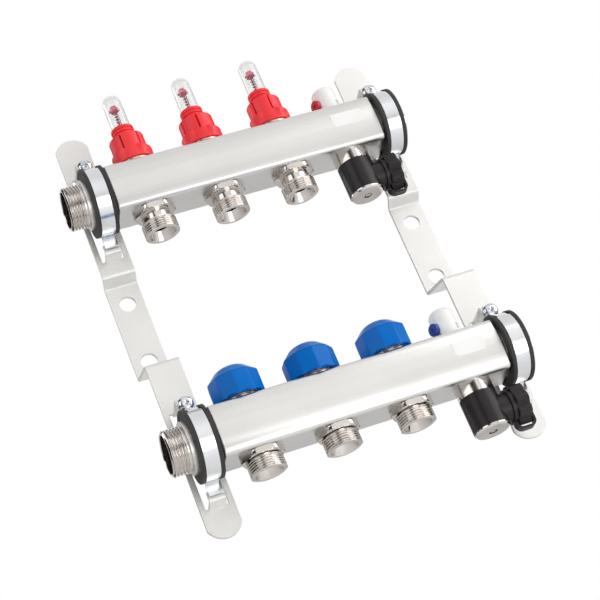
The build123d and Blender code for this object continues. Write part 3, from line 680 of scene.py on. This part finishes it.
@dataclass
class Mounting:
    """The brackets with their rubber-lined clamps and screws."""

    head_diameter: float = 11.0
    head_height: float = 3.0
    shank_diameter: float = 5.0
    shank_length: float = 12.0
    screw_rise: float = 31.0
    screw_lift: float = 0.7
    clamp_place: float = 115.0
    cross_width: float = 1.5
    cross_reach: float = 3.2
    cross_depth: float = 1.7
    cross_taper: float = 0.35
    cross_foot: float = 1.9
    head_edge: float = 0.5
    head_fall: float = 0.05
    head_turn: float = 0.92
    head_fullness: float = 0.8
    thread_pitch: float = 0.8
    thread_depth: float = 0.4

    def build(self) -> None:
        """Dress the brackets, rubbers and bands, and build the screws."""
        dress(["left_bracket", "right_bracket"], ZINC)
        dress([f"{bar.name}_{side}_band" for bar in BARS for side in SIDES], BAND_ZINC)
        dress([f"{bar.name}_{side}_rubber" for bar in BARS for side in SIDES], RUBBER)
        self.screws()

    def screws(self) -> None:
        """Repeat one cross-slotted screw at the four clamps."""
        build = bmesh.new()
        self._screw(build, Station((0.0, 0.0, 0.0), up=(0.0, -1.0, 0.0)))
        pattern = Pattern("screws_on_bars", SCREW_ZINC)
        spread = pattern.size("Spread")
        across = pattern.node("ShaderNodeCombineXYZ", X=pattern.math("MULTIPLY", spread, 2.0))
        points = pattern.node("GeometryNodeJoinGeometry")
        for bar in BARS:
            start = pattern.node("ShaderNodeVectorMath")
            pattern.tree.links.new(pattern.size(f"{bar.name} place", "Vector"), start.inputs[0])
            back = pattern.node("ShaderNodeCombineXYZ", X=pattern.math("MULTIPLY", spread, -1.0))
            pattern.tree.links.new(back.outputs[0], start.inputs[1])
            line = pattern.node("GeometryNodeMeshLine", Count=2, Start_Location=start.outputs[0],
                                Offset=across.outputs[0])
            pattern.tree.links.new(line.outputs[0], points.inputs[0])
        screws = pattern.node("GeometryNodeInstanceOnPoints", Points=points.outputs[0],
                              Instance=pattern.source.outputs[0])
        pattern.close(screws.outputs[0])
        sizes: dict[str, object] = {"Spread": self.clamp_place * MM}
        for bar in BARS:
            place = Vector((0.0, bar.y - self.screw_lift, bar.z + self.screw_rise)) * MM
            sizes[f"{bar.name} place"] = place
        mesh = pattern.run("clamp_screw_set", closed_mesh("one_screw", build), sizes)
        place_piece("clamp_screw_set", mesh, SCREW_ZINC, "manifold", ["clamp_screws"])

    def _screw(self, build: bmesh.types.BMesh, station: Station) -> None:
        """Add one screw with a domed head and a cross recess."""
        head, shank = self.head_diameter / 2, self.shank_diameter / 2
        edge, dome = self.head_edge, self.head_height - self.head_edge
        rings: list[Ring] = [(0.0, -self.shank_length), (shank - 0.5, -self.shank_length)]
        thread = Thread(self.shank_diameter, self.thread_pitch, 0.6 - self.shank_length, -2.6,
                        self.thread_depth)
        rings += thread.rings(8)
        rings += [(shank, 0.0), (head, 0.0), (head, edge)]
        steps = 8
        for step in range(1, steps):
            turn = math.radians(90 * step / steps) * self.head_turn
            rings.append((head * math.cos(turn) ** self.head_fullness, edge + dome * math.sin(turn)))
        top = edge + dome * math.sin(math.radians(90) * self.head_turn)
        for share in (0.5, 0.42, 0.34, 0.26, 0.18, 0.1):
            rings.append((head * share, self._cross(head * share, top)))
        rings.append((0.0, top - self.cross_foot))
        spin(build, station, rings, 64)

    def _cross(self, radius: float, top: float) -> Callable[[float], float]:
        """Return the height of the head by angle, sunk within the cross recess."""
        def height(angle: float) -> float:
            """Return the height at an angle."""
            off = abs((angle + math.pi / 4) % (math.pi / 2) - math.pi / 4)
            aside = radius * math.sin(off)
            inside = aside < self.cross_width / 2 and radius < self.cross_reach
            sunk = self.cross_depth - self.cross_taper * radius
            return top - (sunk if inside else self.head_fall * radius)

        return height


@dataclass
class Outlets:
    """The six circuit outlets under the bars."""

    thread_diameter: float = 26.44
    thread_pitch: float = 1.814
    thread_depth: float = 1.05
    thread_length: float = 10.0
    hexagon: float = 29.0
    hexagon_corner: float = 16.0
    hexagon_height: float = 4.6
    shank: float = 11.5
    shank_inside: float = 5.0
    neck: float = 11.0
    bore: float = 7.0
    mouth: float = 10.2
    cone: float = 7.0
    supply_neck: float = 6.6
    return_neck: float = 0.8

    def build(self) -> None:
        """Build the outlets of both bars."""
        for bar, neck in ((SUPPLY, self.supply_neck), (RETURN, self.return_neck)):
            for number, x in enumerate(bar.circuits, 1):
                self.outlet(bar, number, x, neck)

    def outlet(self, bar: Bar, number: int, x: float, neck: float) -> None:
        """Build one outlet.

        Args:
            bar: The bar that it hangs from.
            number: Circuit number.
            x: Place along the bar.
            neck: Length of its plain neck.
        """
        station = bar.below(x)
        low = self.hexagon_height
        start = low + neck
        tip = start + self.thread_length
        corner = self.hexagon_corner
        root = self.thread_diameter / 2 - self.thread_depth
        thread = Thread(self.thread_diameter, self.thread_pitch, start + 0.5, tip - 0.5,
                        self.thread_depth)
        rings: list[Ring] = [(self.bore, -self.shank_inside), (self.bore, tip - self.cone - 0.3)]
        rings += [(self.bore + 0.3, tip - self.cone), (self.mouth - 0.3, tip - 0.4),
                  (self.mouth, tip - 0.1)]
        rings += [(self.mouth + 0.3, tip), (root - 0.4, tip), (root + 0.2, tip - 0.3)]
        rings += list(reversed(thread.rings()))
        rings += [(root, start), (self.neck, start - min(0.4, neck / 2)), (self.neck, low)]
        for height, trim in ((low, 1.5), (low - 0.25, 1.0), (low - 0.8, 0.1), (low - 1.0, 0.0),
                             (0.7, 0.0), (0.3, 0.5), (0.0, 1.1)):
            rings.append((polygon_radius(self.hexagon, 6, corner - trim), height))
        rings += [(self.shank, 0.0), (self.shank, -self.shank_inside)]
        turned_piece(f"{bar.name}_circuit_outlet_{number}", station, [rings], 120, NICKEL, "manifold",
                     [f"{bar.name}_outlet_{number}"], loop=True)


@dataclass
class FlowMeters:
    """The flow meters on the supply bar, with their red adjusters and sight glasses."""

    skirt_low: float = 21.25
    skirt_top: float = 45.25
    collar_top: float = 54.25
    collar: float = 8.8
    collar_groove: float = 0.9
    upper: float = 13.3
    lower: float = 15.8
    flare_height: float = 11.0
    flare_reach: float = 1.1
    flare_power: float = 1.6
    step_start: float = 0.8
    hem: float = 0.35
    slit_width: float = 6.0
    slit_depth: float = 2.9
    slit_low: float = 10.5
    slit_fall: float = 2.0
    slits: int = 6
    lobe_turn: float = -37.0
    lobes: int = 3
    lobe_half: float = 24.0
    lobe_fade: float = 18.0
    hub: float = 10.1
    throat: float = 7.3
    hub_top: float = 43.85
    clearance: float = 0.3
    glass: float = 7.25
    glass_wall: float = 1.3
    glass_height: float = 41.0
    turns: tuple[float, ...] = (3.0, 26.0, 40.0)
    indicator_low: float = 70.85
    indicator: float = 4.3
    indicator_height: float = 5.0
    indicator_wave: float = 0.14
    rod: float = 0.7
    rod_tail: float = 2.0
    spring_radius: float = 1.6
    spring_wire: float = 0.6
    spring_turns: float = 10.0
    travel: float = 14.0

    def build(self) -> None:
        """Dress the bodies and build the adjusters, glasses, discs and springs."""
        numbers = range(1, len(SUPPLY.circuits) + 1)
        dress([f"flow_meter_body_{n}" for n in numbers], BRASS)
        coil = self.coil_pattern()
        for n, x, turn in zip(numbers, SUPPLY.circuits, self.turns):
            self.adjuster(n, x, turn)
            self.sight_glass(n, x)
            self.float_disc(n, x)
            self.spring(n, x, coil)

    def adjuster(self, number: int, x: float, turn: float) -> None:
        """Build one red adjuster.

        Args:
            number: Circuit number.
            x: Place along the bar.
            turn: Angle of its first slit from the X axis, in degrees.
        """
        station = SUPPLY.above(x, turn)
        low, top = self.skirt_low, self.skirt_top
        rings: list[Ring] = [(self.hub, low), (self.lower - 2.2, low)]
        lobe = self.lobe_turn - turn
        lifts = (0.05, 0.4, 1.0, 3.0, 5.0, 7.0, 8.7, 9.6, 10.3, 10.7, 11.0, 11.4, 12.2, 14.0)
        heights = [low + lift for lift in lifts] + [top - fall for fall in (5.2, 4.9, 2.4, 1.4)]
        rings += [(self._skirt(h, lobe), h) for h in heights]
        for drop, fall in ((0.25, 0.8), (0.8, 0.3), (1.6, 0.0)):
            rings.append((self._skirt(top - 1.4, lobe, drop), top - fall))
        collar, end, ceiling = self.collar, self.collar_top, self.hub_top + self.clearance
        groove = collar - self.collar_groove
        rings += [(collar + 1.5, top + 0.1), (collar, top + 0.5), (collar - 0.1, top + 1.6)]
        rings += [(groove, top + 2.2), (groove, top + 3.2), (collar, top + 3.9), (collar, top + 4.8)]
        rings += [(groove, top + 5.4), (groove, top + 6.1), (collar, top + 6.7), (collar, end - 0.6)]
        rings += [(collar - 0.2, end - 0.2), (collar - 0.6, end), (self.throat, end)]
        rings += [(self.throat, ceiling), (self.hub, ceiling)]
        turned_piece(f"flow_adjuster_ring_{number}", station, [rings], 216, RED, f"flow_ring_{number}",
                     [f"flow_adjuster_{number}"], sharp=38.0, loop=True)

    def _skirt(self, height: float, lobe_turn: float, drop: float = 0.0) -> Callable[[float], float]:
        """Return the skirt's radius by angle from the first slit, at one height.

        Args:
            height: Height over the bar's axis.
            lobe_turn: Angle of the first lobe from the first slit, in degrees.
            drop: Rounding at the edge.
        """
        share = (height - self.skirt_low) / self.flare_height
        slit = self.skirt_low + self.slit_low < height < self.skirt_top - self.slit_fall
        past = max(0.0, min(share, 1.0) - self.step_start) / (1.0 - self.step_start)
        step = math.sqrt(max(0.0, 1 - past ** 2))
        flare = (max(0.0, self.flare_reach - share) / self.flare_reach) ** self.flare_power
        edge = self.hem if height < self.skirt_low + 0.2 else 0.0
        slit_step, lobe_step = 360.0 / self.slits, 360.0 / self.lobes

        def radius(angle: float) -> float:
            """Return the radius at an angle."""
            turn = math.degrees(angle)
            off_slit = abs((turn + slit_step / 2) % slit_step - slit_step / 2)
            off_lobe = abs((turn - lobe_turn + lobe_step / 2) % lobe_step - lobe_step / 2)
            between = max(0.0, min(1.0, (off_lobe - self.lobe_half) / self.lobe_fade))
            between = between * between * (3 - 2 * between)
            grip = (self.lower - self.upper) * ((1 - between) * step + between * flare)
            groove = self.slit_depth if slit and off_slit < self.slit_width / 2 else 0.0
            return self.upper + grip - groove - drop - edge

        return radius

    def sight_glass(self, number: int, x: float) -> None:
        """Build one clear domed tube."""
        station = SUPPLY.above(x)
        outer, inner = self.glass, self.glass - self.glass_wall
        low = self.hub_top
        shoulder = low + self.glass_height - outer

        def dome(radius: float, steps: int = 12) -> list[Ring]:
            """Return the rings of a half ball over the shoulder."""
            turns = [math.pi / 2 * step / steps for step in range(steps)]
            made: list[Ring] = [(radius * math.cos(a), shoulder + radius * math.sin(a)) for a in turns]
            return made + [(0.0, shoulder + radius)]

        wall: list[Ring] = [(inner, low), (outer, low), (outer, low + 12.0), (outer, shoulder - 8.0)]
        outlines = [wall + dome(outer), [(inner, low)] + dome(inner)]
        turned_piece(f"clear_dome_{number}", station, outlines, 72, CLEAR, "manifold",
                     [f"sight_glass_{number}"])

    def float_disc(self, number: int, x: float) -> None:
        """Build one flow indicator: a lobed disc on a rod."""
        station = SUPPLY.above(x)
        low, high = self.indicator_low, self.indicator_low + self.indicator_height
        foot, rod, wave = self.hub_top - self.rod_tail, self.rod, self.indicator_wave

        def star(share: float) -> Callable[[float], float]:
            """Return the six-lobed outline at a share of its width."""
            return lambda angle: self.indicator * share * (1.0 - wave + wave * math.cos(6 * angle))

        rings: list[Ring] = [(0.0, foot), (rod, foot), (rod, low), (star(0.93), low)]
        rings += [(star(1.0), low + 0.3), (star(1.0), low + 1.7), (star(0.7), low + 2.2)]
        rings += [(star(0.62), low + 3.0), (star(0.62), high - 0.4), (star(0.5), high), (0.0, high)]
        turned_piece(f"flow_float_{number}", station, [rings], 60, INDICATOR, f"flow_disc_{number}",
                     [f"flow_indicator_{number}"])

    def coil_pattern(self) -> Pattern:
        """Return the pattern of a wire wound on a helix."""
        pattern = Pattern("wound_wire", SPRING)
        radius = pattern.size("Coil radius")
        helix = pattern.node("GeometryNodeCurveSpiral", Resolution=14, Rotations=pattern.size("Turns"),
                             Start_Radius=radius, End_Radius=radius, Height=pattern.size("Coil height"))
        wire = pattern.node("GeometryNodeCurvePrimitiveCircle", Resolution=8,
                            Radius=pattern.size("Wire radius"))
        tube = pattern.node("GeometryNodeCurveToMesh", Curve=helix.outputs[0],
                            Profile_Curve=wire.outputs[0], Fill_Caps=True)
        placed = pattern.node("GeometryNodeSetPosition", Geometry=tube.outputs[0],
                              Offset=pattern.size("Foot", "Vector"))
        pattern.close(placed.outputs[0])
        return pattern

    def spring(self, number: int, x: float, pattern: Pattern) -> None:
        """Wind one indicator spring.

        Args:
            number: Circuit number.
            x: Place along the bar.
            pattern: The wound wire.
        """
        half = self.spring_wire / 2
        low = self.hub_top + self.clearance + half
        height = self.indicator_low - self.clearance - half - low
        foot = Vector((x, SUPPLY.y, SUPPLY.z + low)) * MM
        sizes = {"Coil radius": self.spring_radius * MM, "Turns": self.spring_turns,
                 "Coil height": height * MM, "Wire radius": half * MM, "Foot": foot}
        name = f"wound_spring_{number}"
        mesh = pattern.run(name, bpy.data.meshes.new(f"{name}_start"), sizes)
        piece = place_piece(name, mesh, SPRING, "manifold", [f"indicator_spring_{number}"])
        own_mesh(piece)


@dataclass
class ReturnValves:
    """The thermostatic valve inserts on the return bar, with their blue hand caps."""

    cap: float = 19.2
    sides: int = 10
    low: float = 20.55
    shoulder: float = 37.55
    cone_top: float = 44.05
    high: float = 47.65
    crown: float = 12.0
    cavity: float = 15.2
    ceiling: float = 33.0
    scallop: float = 1.1
    scallop_half: float = 0.72
    corner_trim: float = 0.12
    turns: tuple[float, ...] = (8.0, 20.0, 2.0)

    def build(self) -> None:
        """Dress the inserts and pins and build the caps."""
        numbers = range(1, len(RETURN.circuits) + 1)
        dress([f"valve_insert_{n}" for n in numbers], BRASS)
        dress([f"valve_pin_{n}" for n in numbers], NECK_STEEL)
        for n, x, turn in zip(numbers, RETURN.circuits, self.turns):
            self.hand_cap(n, x, turn)

    def hand_cap(self, number: int, x: float, turn: float) -> None:
        """Build one faceted cap.

        Args:
            number: Circuit number.
            x: Place along the bar.
            turn: Angle of its first corner from the X axis, in degrees.
        """
        station = RETURN.above(x, turn)
        flats = 2 * self.cap * math.cos(math.pi / self.sides)
        side = polygon_radius(flats, self.sides, self.cap - self.corner_trim)
        rise = self.high - self.cone_top
        ball = (self.crown ** 2 + rise ** 2) / (2 * rise)

        def trimmed(less: float) -> Callable[[float], float]:
            """Return the faceted outline, drawn in."""
            return lambda angle: side(angle) - less

        def cone(share: float) -> Ring:
            """Return a ring between the faceted shoulder and the round crown."""
            return (lambda a: side(a) * (1 - share) + self.crown * share,
                    self.shoulder + (self.cone_top - self.shoulder) * share)

        rings: list[Ring] = [(self.cavity, self.low + 0.6), (self.cavity + 0.8, self._hem(0.5))]
        rings += [(trimmed(0.35), self._hem(0.0)), (side, self._hem(0.3)), (side, self._hem(1.0))]
        rings += [(side, self.low + 5.0), (side, self.shoulder - 0.7)]
        rings += [(trimmed(0.12), self.shoulder - 0.25), (trimmed(0.5), self.shoulder + 0.1)]
        rings += [cone(share) for share in (0.04, 0.2, 0.4, 0.6, 0.8, 0.96)]
        for share in (0.94, 0.8, 0.6, 0.4, 0.2):
            reach = self.crown * share
            rings.append((reach, self.high - ball + math.sqrt(ball ** 2 - reach ** 2)))
        rings.append((0.0, self.high))
        cavity = [(self.cavity, self.low + 0.6), (self.cavity, self.ceiling), (0.0, self.ceiling)]
        turned_piece(f"hand_cap_{number}", station, [rings, cavity], 120, BLUE, f"return_cap_{number}",
                     [f"blue_cap_{number}"], sharp=20.0)

    def _hem(self, lift: float) -> Callable[[float], float]:
        """Return the height of the scalloped lower edge by angle."""
        step = 2 * math.pi / self.sides

        def height(angle: float) -> float:
            """Return the height at an angle."""
            off = ((angle % step) - step / 2) / (step / 2)
            arch = math.sqrt(max(0.0, 1 - (off / self.scallop_half) ** 2))
            return self.low + lift + self.scallop * arch

        return height


@dataclass
class Vents:
    """The air vents near the right ends of the bars."""

    knob_low: float = 21.95
    knob_high: float = 42.6
    knob: float = 10.0
    stem: float = 4.8
    stem_top: float = 29.95
    spout: float = 4.25
    spout_bore: float = 2.65
    spout_reach: float = 13.0
    spout_angle: float = 205.0
    spout_lift: float = 5.75
    slots: int = 4
    slot_width: float = 13.0
    slot_depth: float = 2.2
    slot_turn: float = 100.0
    crown: float = 5.5
    ring_length: float = 3.4
    ring_wall: float = 0.35
    ring_bore: float = 1.3

    def build(self) -> None:
        """Dress the bodies and build the knobs with their coloured rings."""
        for bar, mark in ((SUPPLY, RED_MARK), (RETURN, BLUE_MARK)):
            dress([f"{bar.name}_vent_body"], WHITE)
            self.knob_piece(bar)
            self.ring(bar, mark)

    def knob_piece(self, bar: Bar) -> None:
        """Build one domed knob with slots in its foot and a side spout."""
        low, high, r = self.knob_low, self.knob_high, self.knob
        rings: list[Ring] = [(self.stem, low), (self._foot(r - 0.8), low)]
        rings += [(self._foot(r - 0.1), low + 0.1), (self._foot(r), low + 0.4)]
        rings += [(self._foot(r), low + 5.0)]
        rings += [(r, low + 5.3), (r - 0.1, low + 8.0), (r - 0.5, low + 8.4), (r - 0.5, low + 8.8)]
        rings += [(r - 0.5, low + 10.5), (r - 0.6, high - self.crown)]
        for step in range(1, 10):
            turn = math.pi / 2 * step / 9
            reach = r - 0.6 - self.crown * (1 - math.cos(turn))
            rings.append((reach, high - self.crown * (1 - math.sin(turn)) - 0.1))
        rings.append((0.0, high))
        build = bmesh.new()
        turned = bar.above(bar.service, self.spout_angle + self.slot_turn - 360.0 / self.slots)
        spin(build, turned, rings, 144)
        spin(build, turned, [(self.stem, low), (self.stem, self.stem_top), (0.0, self.stem_top)], 144)
        spout = self._spout_station(bar)
        tip = self.spout_reach
        spin(build, spout, [(self.spout, r * 0.55), (self.spout, tip - 0.5), (self.spout - 0.4, tip),
                            (self.spout_bore + 0.2, tip), (self.spout_bore, tip - 0.3),
                            (self.spout_bore, tip - 2.4), (0.0, tip - 2.4)], 48)
        name = f"{bar.name}_vent_dome"
        place_piece(name, closed_mesh(name, build), WHITE, f"{bar.name}_vent", [f"{bar.name}_vent_knob"])

    def _spout_station(self, bar: Bar) -> Station:
        """Return the station of the spout, pointing outwards."""
        a = math.radians(self.spout_angle)
        return Station((bar.service, bar.y, bar.z + self.knob_low + self.spout_lift),
                       up=(math.cos(a), math.sin(a), 0.0), zero=(0.0, 0.0, 1.0))

    def _foot(self, radius: float) -> Callable[[float], float]:
        """Return the foot's radius by angle, with narrow grip slots."""
        step = 2 * math.pi / self.slots

        def reach(angle: float) -> float:
            """Return the radius at an angle."""
            off = abs((angle + step / 2) % step - step / 2)
            return radius - (self.slot_depth if math.degrees(off) < self.slot_width / 2 else 0.0)

        return reach

    def ring(self, bar: Bar, mark: Finish) -> None:
        """Build the coloured ring on the spout."""
        spout = self._spout_station(bar)
        tip = self.spout_reach
        outer, low, bore = self.spout + self.ring_wall, tip - self.ring_length, self.ring_bore
        rings = [(self.spout - 0.2, low), (outer, low + 0.2), (outer, tip - 0.2),
                 (outer - 0.3, tip + 0.1), (bore + 0.2, tip + 0.1), (bore, tip - 0.2), (bore, tip - 0.8)]
        turned_piece(f"{bar.name}_vent_ring", spout, [rings], 48, mark, f"{bar.name}_vent", loop=True)


@dataclass
class Drains:
    """The fill and drain valves under the bars."""

    drop: float = 22.6
    cap_start: float = 19.3
    cap_inside: float = 27.5
    cap_end: float = 29.7
    cap: float = 15.0
    lobes: int = 8
    spigot: float = 12.5
    button: float = 3.5
    button_height: float = 2.2
    lobe_depth: float = 2.4
    lobe_power: float = 0.6
    ribs: int = 72
    rib_rise: float = 0.3
    rib_margin: float = 1.6

    def build(self) -> None:
        """Dress the valves and build their ribbed caps."""
        ribs = self.rib_pattern()
        for bar in BARS:
            dress([f"{bar.name}_drain_connector", f"{bar.name}_drain_spindle"], NICKEL)
            dress([f"{bar.name}_drain_body"], BLACK)
            self.branch_cap(bar)
            self.cap_ribs(bar, ribs)
        dress(["drain_straps"], BLACK)

    def branch_cap(self, bar: Bar) -> None:
        """Build the lobed cap of the branch."""
        station = Station((bar.service, bar.y, bar.z - bar.top - self.drop), up=(1.0, 0.0, 0.0),
                          zero=(0.0, 0.0, 1.0))

        def grip(trim: float) -> Callable[[float], float]:
            """Return the lobed outline, less a trim."""
            def radius(angle: float) -> float:
                """Return the radius at an angle."""
                lobe = 0.5 + 0.5 * math.cos(self.lobes * angle)
                return self.cap - trim - self.lobe_depth * (1 - lobe ** self.lobe_power) - self.rib_rise
            return radius

        start, end, top = self.cap_start, self.cap_end, self.cap_end + self.button_height
        rings: list[Ring] = [(self.spigot, start), (grip(1.2), start), (grip(0.3), start + 0.3)]
        rings += [(grip(0.0), start + 0.8), (grip(0.0), end - 1.0), (grip(0.25), end - 0.5)]
        rings += [(grip(1.0), end), (self.button + 0.1, end), (self.button, top - 0.3)]
        rings += [(self.button - 0.4, top), (0.0, top)]
        socket = [(self.spigot, start), (self.spigot, self.cap_inside), (0.0, self.cap_inside)]
        turned_piece(f"{bar.name}_branch_cap", station, [rings, socket], 240, BLACK,
                     f"{bar.name}_drain_cover", [f"{bar.name}_drain_cap"])

    def rib_pattern(self) -> Pattern:
        """Return the pattern of fine ribs that follow the lobed outline of a cap."""
        pattern = Pattern("ribs_on_lobes", BLACK)
        count = pattern.size("Ribs", "Int")
        index = pattern.node("GeometryNodeInputIndex").outputs[0]
        angle = pattern.math("DIVIDE", pattern.math("MULTIPLY", index, 2 * math.pi), count)
        wave = pattern.math("COSINE", pattern.math("MULTIPLY", angle, pattern.size("Lobes")))
        lobe = pattern.math("MULTIPLY", pattern.math("ADD", wave, 1.0), 0.5)
        share = pattern.math("SUBTRACT", 1.0, pattern.math("POWER", lobe, pattern.size("Lobe power")))
        fall = pattern.math("MULTIPLY", share, pattern.size("Lobe depth"))
        reach = pattern.math("SUBTRACT", pattern.size("Reach"), fall)
        aside = pattern.math("MULTIPLY", reach, pattern.math("SINE", angle))
        above = pattern.math("MULTIPLY", reach, pattern.math("COSINE", angle))
        place = pattern.node("ShaderNodeCombineXYZ", Y=pattern.math("MULTIPLY", aside, -1.0), Z=above)
        points = pattern.node("GeometryNodeMeshLine", Count=count, Offset=(0.0, 0.0, 0.0))
        spread = pattern.node("GeometryNodeSetPosition", Geometry=points.outputs[0],
                              Position=place.outputs[0], Offset=pattern.size("Centre", "Vector"))
        rib = pattern.node("GeometryNodeMeshCylinder", Vertices=8, Radius=pattern.size("Rib radius"),
                           Depth=pattern.size("Rib length"))
        repeated = pattern.node("GeometryNodeInstanceOnPoints", Points=spread.outputs[0],
                                Instance=rib.outputs[0], Rotation=(0.0, math.pi / 2, 0.0))
        pattern.close(repeated.outputs[0])
        return pattern

    def cap_ribs(self, bar: Bar, pattern: Pattern) -> None:
        """Run fine ribs round the cap of the branch."""
        length = self.cap_end - self.cap_start - self.rib_margin
        middle = (self.cap_start + self.cap_end) / 2
        centre = Vector((bar.service + middle, bar.y, bar.z - bar.top - self.drop)) * MM
        sizes = {"Ribs": self.ribs, "Lobes": float(self.lobes), "Lobe power": self.lobe_power,
                 "Lobe depth": self.lobe_depth * MM, "Reach": (self.cap - 2 * self.rib_rise) * MM,
                 "Centre": centre, "Rib radius": 2 * self.rib_rise * MM, "Rib length": length * MM}
        name = f"{bar.name}_cap_ribs"
        place_piece(name, pattern.run(name, bpy.data.meshes.new(f"{name}_start"), sizes), BLACK,
                    f"{bar.name}_drain_cover")


# Studio
@dataclass(frozen=True)
class Lamp:
    """One square lamp: its place and size in metres, and its power in watts."""

    name: str
    place: Point
    size: float
    watts: float

    def hang(self, target: Vector) -> None:
        """Hang the lamp so that it looks at a target."""
        data = bpy.data.lights.new(self.name, "AREA")
        data.energy = self.watts
        data.size = self.size
        lamp = bpy.data.objects.new(self.name, data)
        lamp.location = self.place
        lamp.rotation_mode = "QUATERNION"
        lamp.rotation_quaternion = (target - Vector(self.place)).to_track_quat("-Z", "Y")
        bpy.context.scene.collection.objects.link(lamp)


@dataclass
class Studio:
    """The floor, lamps, world and camera. The camera's angles are in degrees."""

    azimuth: float = -16.37
    elevation: float = -23.47
    roll: float = -23.1
    distance: float = 1.2865
    focal_pixels: float = 1824.4
    frame_pixels: float = 600.0
    target: Point = (-0.01159, -0.0695, -0.04198)
    floor_level: float = -1.1
    ambient: float = 0.5
    room_turn: float = 0.15
    side_from: float = 0.24
    side_to: float = 0.52
    side_shade: float = 0.04
    ceiling_from: float = 0.45
    ceiling_to: float = 0.95
    ceiling_shade: float = 0.8
    floor_from: float = -0.5
    floor_to: float = 0.25
    floor_shade: float = 0.5
    floor_tone: float = 0.93
    floor_roughness: float = 0.9
    floor_reach: float = 6.0
    lamps_hung: tuple[Lamp, ...] = (
        Lamp("key_lamp", (1.9, -1.0, 0.8), 2.0, 32.0),
        Lamp("fill_lamp", (-1.6, -1.3, 1.0), 1.4, 9.0),
        Lamp("low_lamp", (0.34, -1.2, -0.65), 0.8, 3.2),
        Lamp("back_lamp", (-1.4, 1.0, 0.9), 0.9, 5.0))

    def build(self) -> None:
        """Make everything that isn't part of the object."""
        bpy.context.scene.view_settings.view_transform = "Standard"
        self.floor()
        self.world()
        for lamp in self.lamps_hung:
            lamp.hang(Vector(self.target))
        self.camera()

    def floor(self) -> None:
        """Lay a plain pale floor well below the object."""
        mesh = bpy.data.meshes.new("studio_floor")
        reach, level = self.floor_reach, self.floor_level
        outline = [(x * reach, y * reach, level) for x, y in ((-1, -1), (1, -1), (1, 1), (-1, 1))]
        mesh.from_pydata(outline, [], [(0, 1, 2, 3)])
        floor = bpy.data.objects.new("studio_floor", mesh)
        bpy.context.scene.collection.objects.link(floor)
        material = bpy.data.materials.new("pale_floor")
        material.use_nodes = True
        shader = material.node_tree.nodes["Principled BSDF"]
        shader.inputs["Base Color"].default_value = (*(self.floor_tone,) * 3, 1.0)
        shader.inputs["Roughness"].default_value = self.floor_roughness
        mesh.materials.append(material)

    def world(self) -> None:
        """Show white to camera and transmitted rays and a room to glossy rays, and light softly."""
        world = bpy.data.worlds.new("soft_room")
        bpy.context.scene.world = world
        world.use_nodes = True
        tree = world.node_tree
        background = tree.nodes["Background"]
        path = tree.nodes.new("ShaderNodeLightPath")
        direct = math_node(tree, "MAXIMUM", path.outputs["Is Camera Ray"],
                           path.outputs["Is Transmission Ray"])
        light = mix_node(tree, path.outputs["Is Glossy Ray"], self.ambient, self._room(tree))
        shown = mix_node(tree, direct, light, 1.0)
        background.inputs["Color"].default_value = (1.0, 1.0, 1.0, 1.0)
        tree.links.new(shown, background.inputs["Strength"])

    def _room(self, tree: bpy.types.NodeTree) -> bpy.types.NodeSocket:
        """Return the brightness that polished faces mirror: a pale room with darker sides."""
        place = tree.nodes.new("ShaderNodeTexCoord")
        axes = tree.nodes.new("ShaderNodeSeparateXYZ")
        tree.links.new(place.outputs["Generated"], axes.inputs[0])
        aside, height = axes.outputs["X"], axes.outputs["Z"]
        aside = math_node(tree, "ABSOLUTE", math_node(tree, "SUBTRACT", aside, self.room_turn))
        side, ceiling, floor = (
            ramp_node(tree, source, start, end, "SMOOTHSTEP")
            for source, start, end in (
                (aside, (self.side_from, 1.0), (self.side_to, self.side_shade)),
                (height, (self.ceiling_from, 1.0), (self.ceiling_to, self.ceiling_shade)),
                (height, (self.floor_from, self.floor_shade), (self.floor_to, 1.0))))
        return math_node(tree, "MULTIPLY", math_node(tree, "MULTIPLY", side, ceiling), floor)

    def camera(self) -> None:
        """Set the camera at the photograph's viewing angle, tilt and distance."""
        turn, rise, roll = (math.radians(v) for v in (self.azimuth, self.elevation, self.roll))
        level = math.cos(rise)
        back = Vector((math.sin(turn) * level, -math.cos(turn) * level, math.sin(rise)))
        right = (-back).cross(Vector((0.0, 0.0, 1.0))).normalized()
        up = right.cross(-back)
        right_rolled = right * math.cos(roll) + up * math.sin(roll)
        up_rolled = up * math.cos(roll) - right * math.sin(roll)
        data = bpy.data.cameras.new("photo_camera")
        data.sensor_width = 36.0
        data.lens = self.focal_pixels / self.frame_pixels * data.sensor_width
        data.clip_start, data.clip_end = 0.05, 50.0
        camera = bpy.data.objects.new("photo_camera", data)
        place = Matrix.Translation(Vector(self.target) + back * self.distance)
        camera.matrix_world = place @ Matrix((right_rolled, up_rolled, back)).transposed().to_4x4()
        bpy.context.scene.collection.objects.link(camera)
        bpy.context.scene.camera = camera


def corners(box: tuple[Vector, Vector]) -> list[list[float]]:
    """Return the two corners of a box as plain lists."""
    return [list(corner) for corner in box]


def main() -> None:
    """Build the sub-assemblies in order."""
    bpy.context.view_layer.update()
    Studio().build()
    for part in (Bars(), Mounting(), Outlets(), FlowMeters(), ReturnValves(), Vents(), Drains()):
        log.info("building %s", type(part).__name__)
        part.build()


if __name__ == "__main__":
    main()
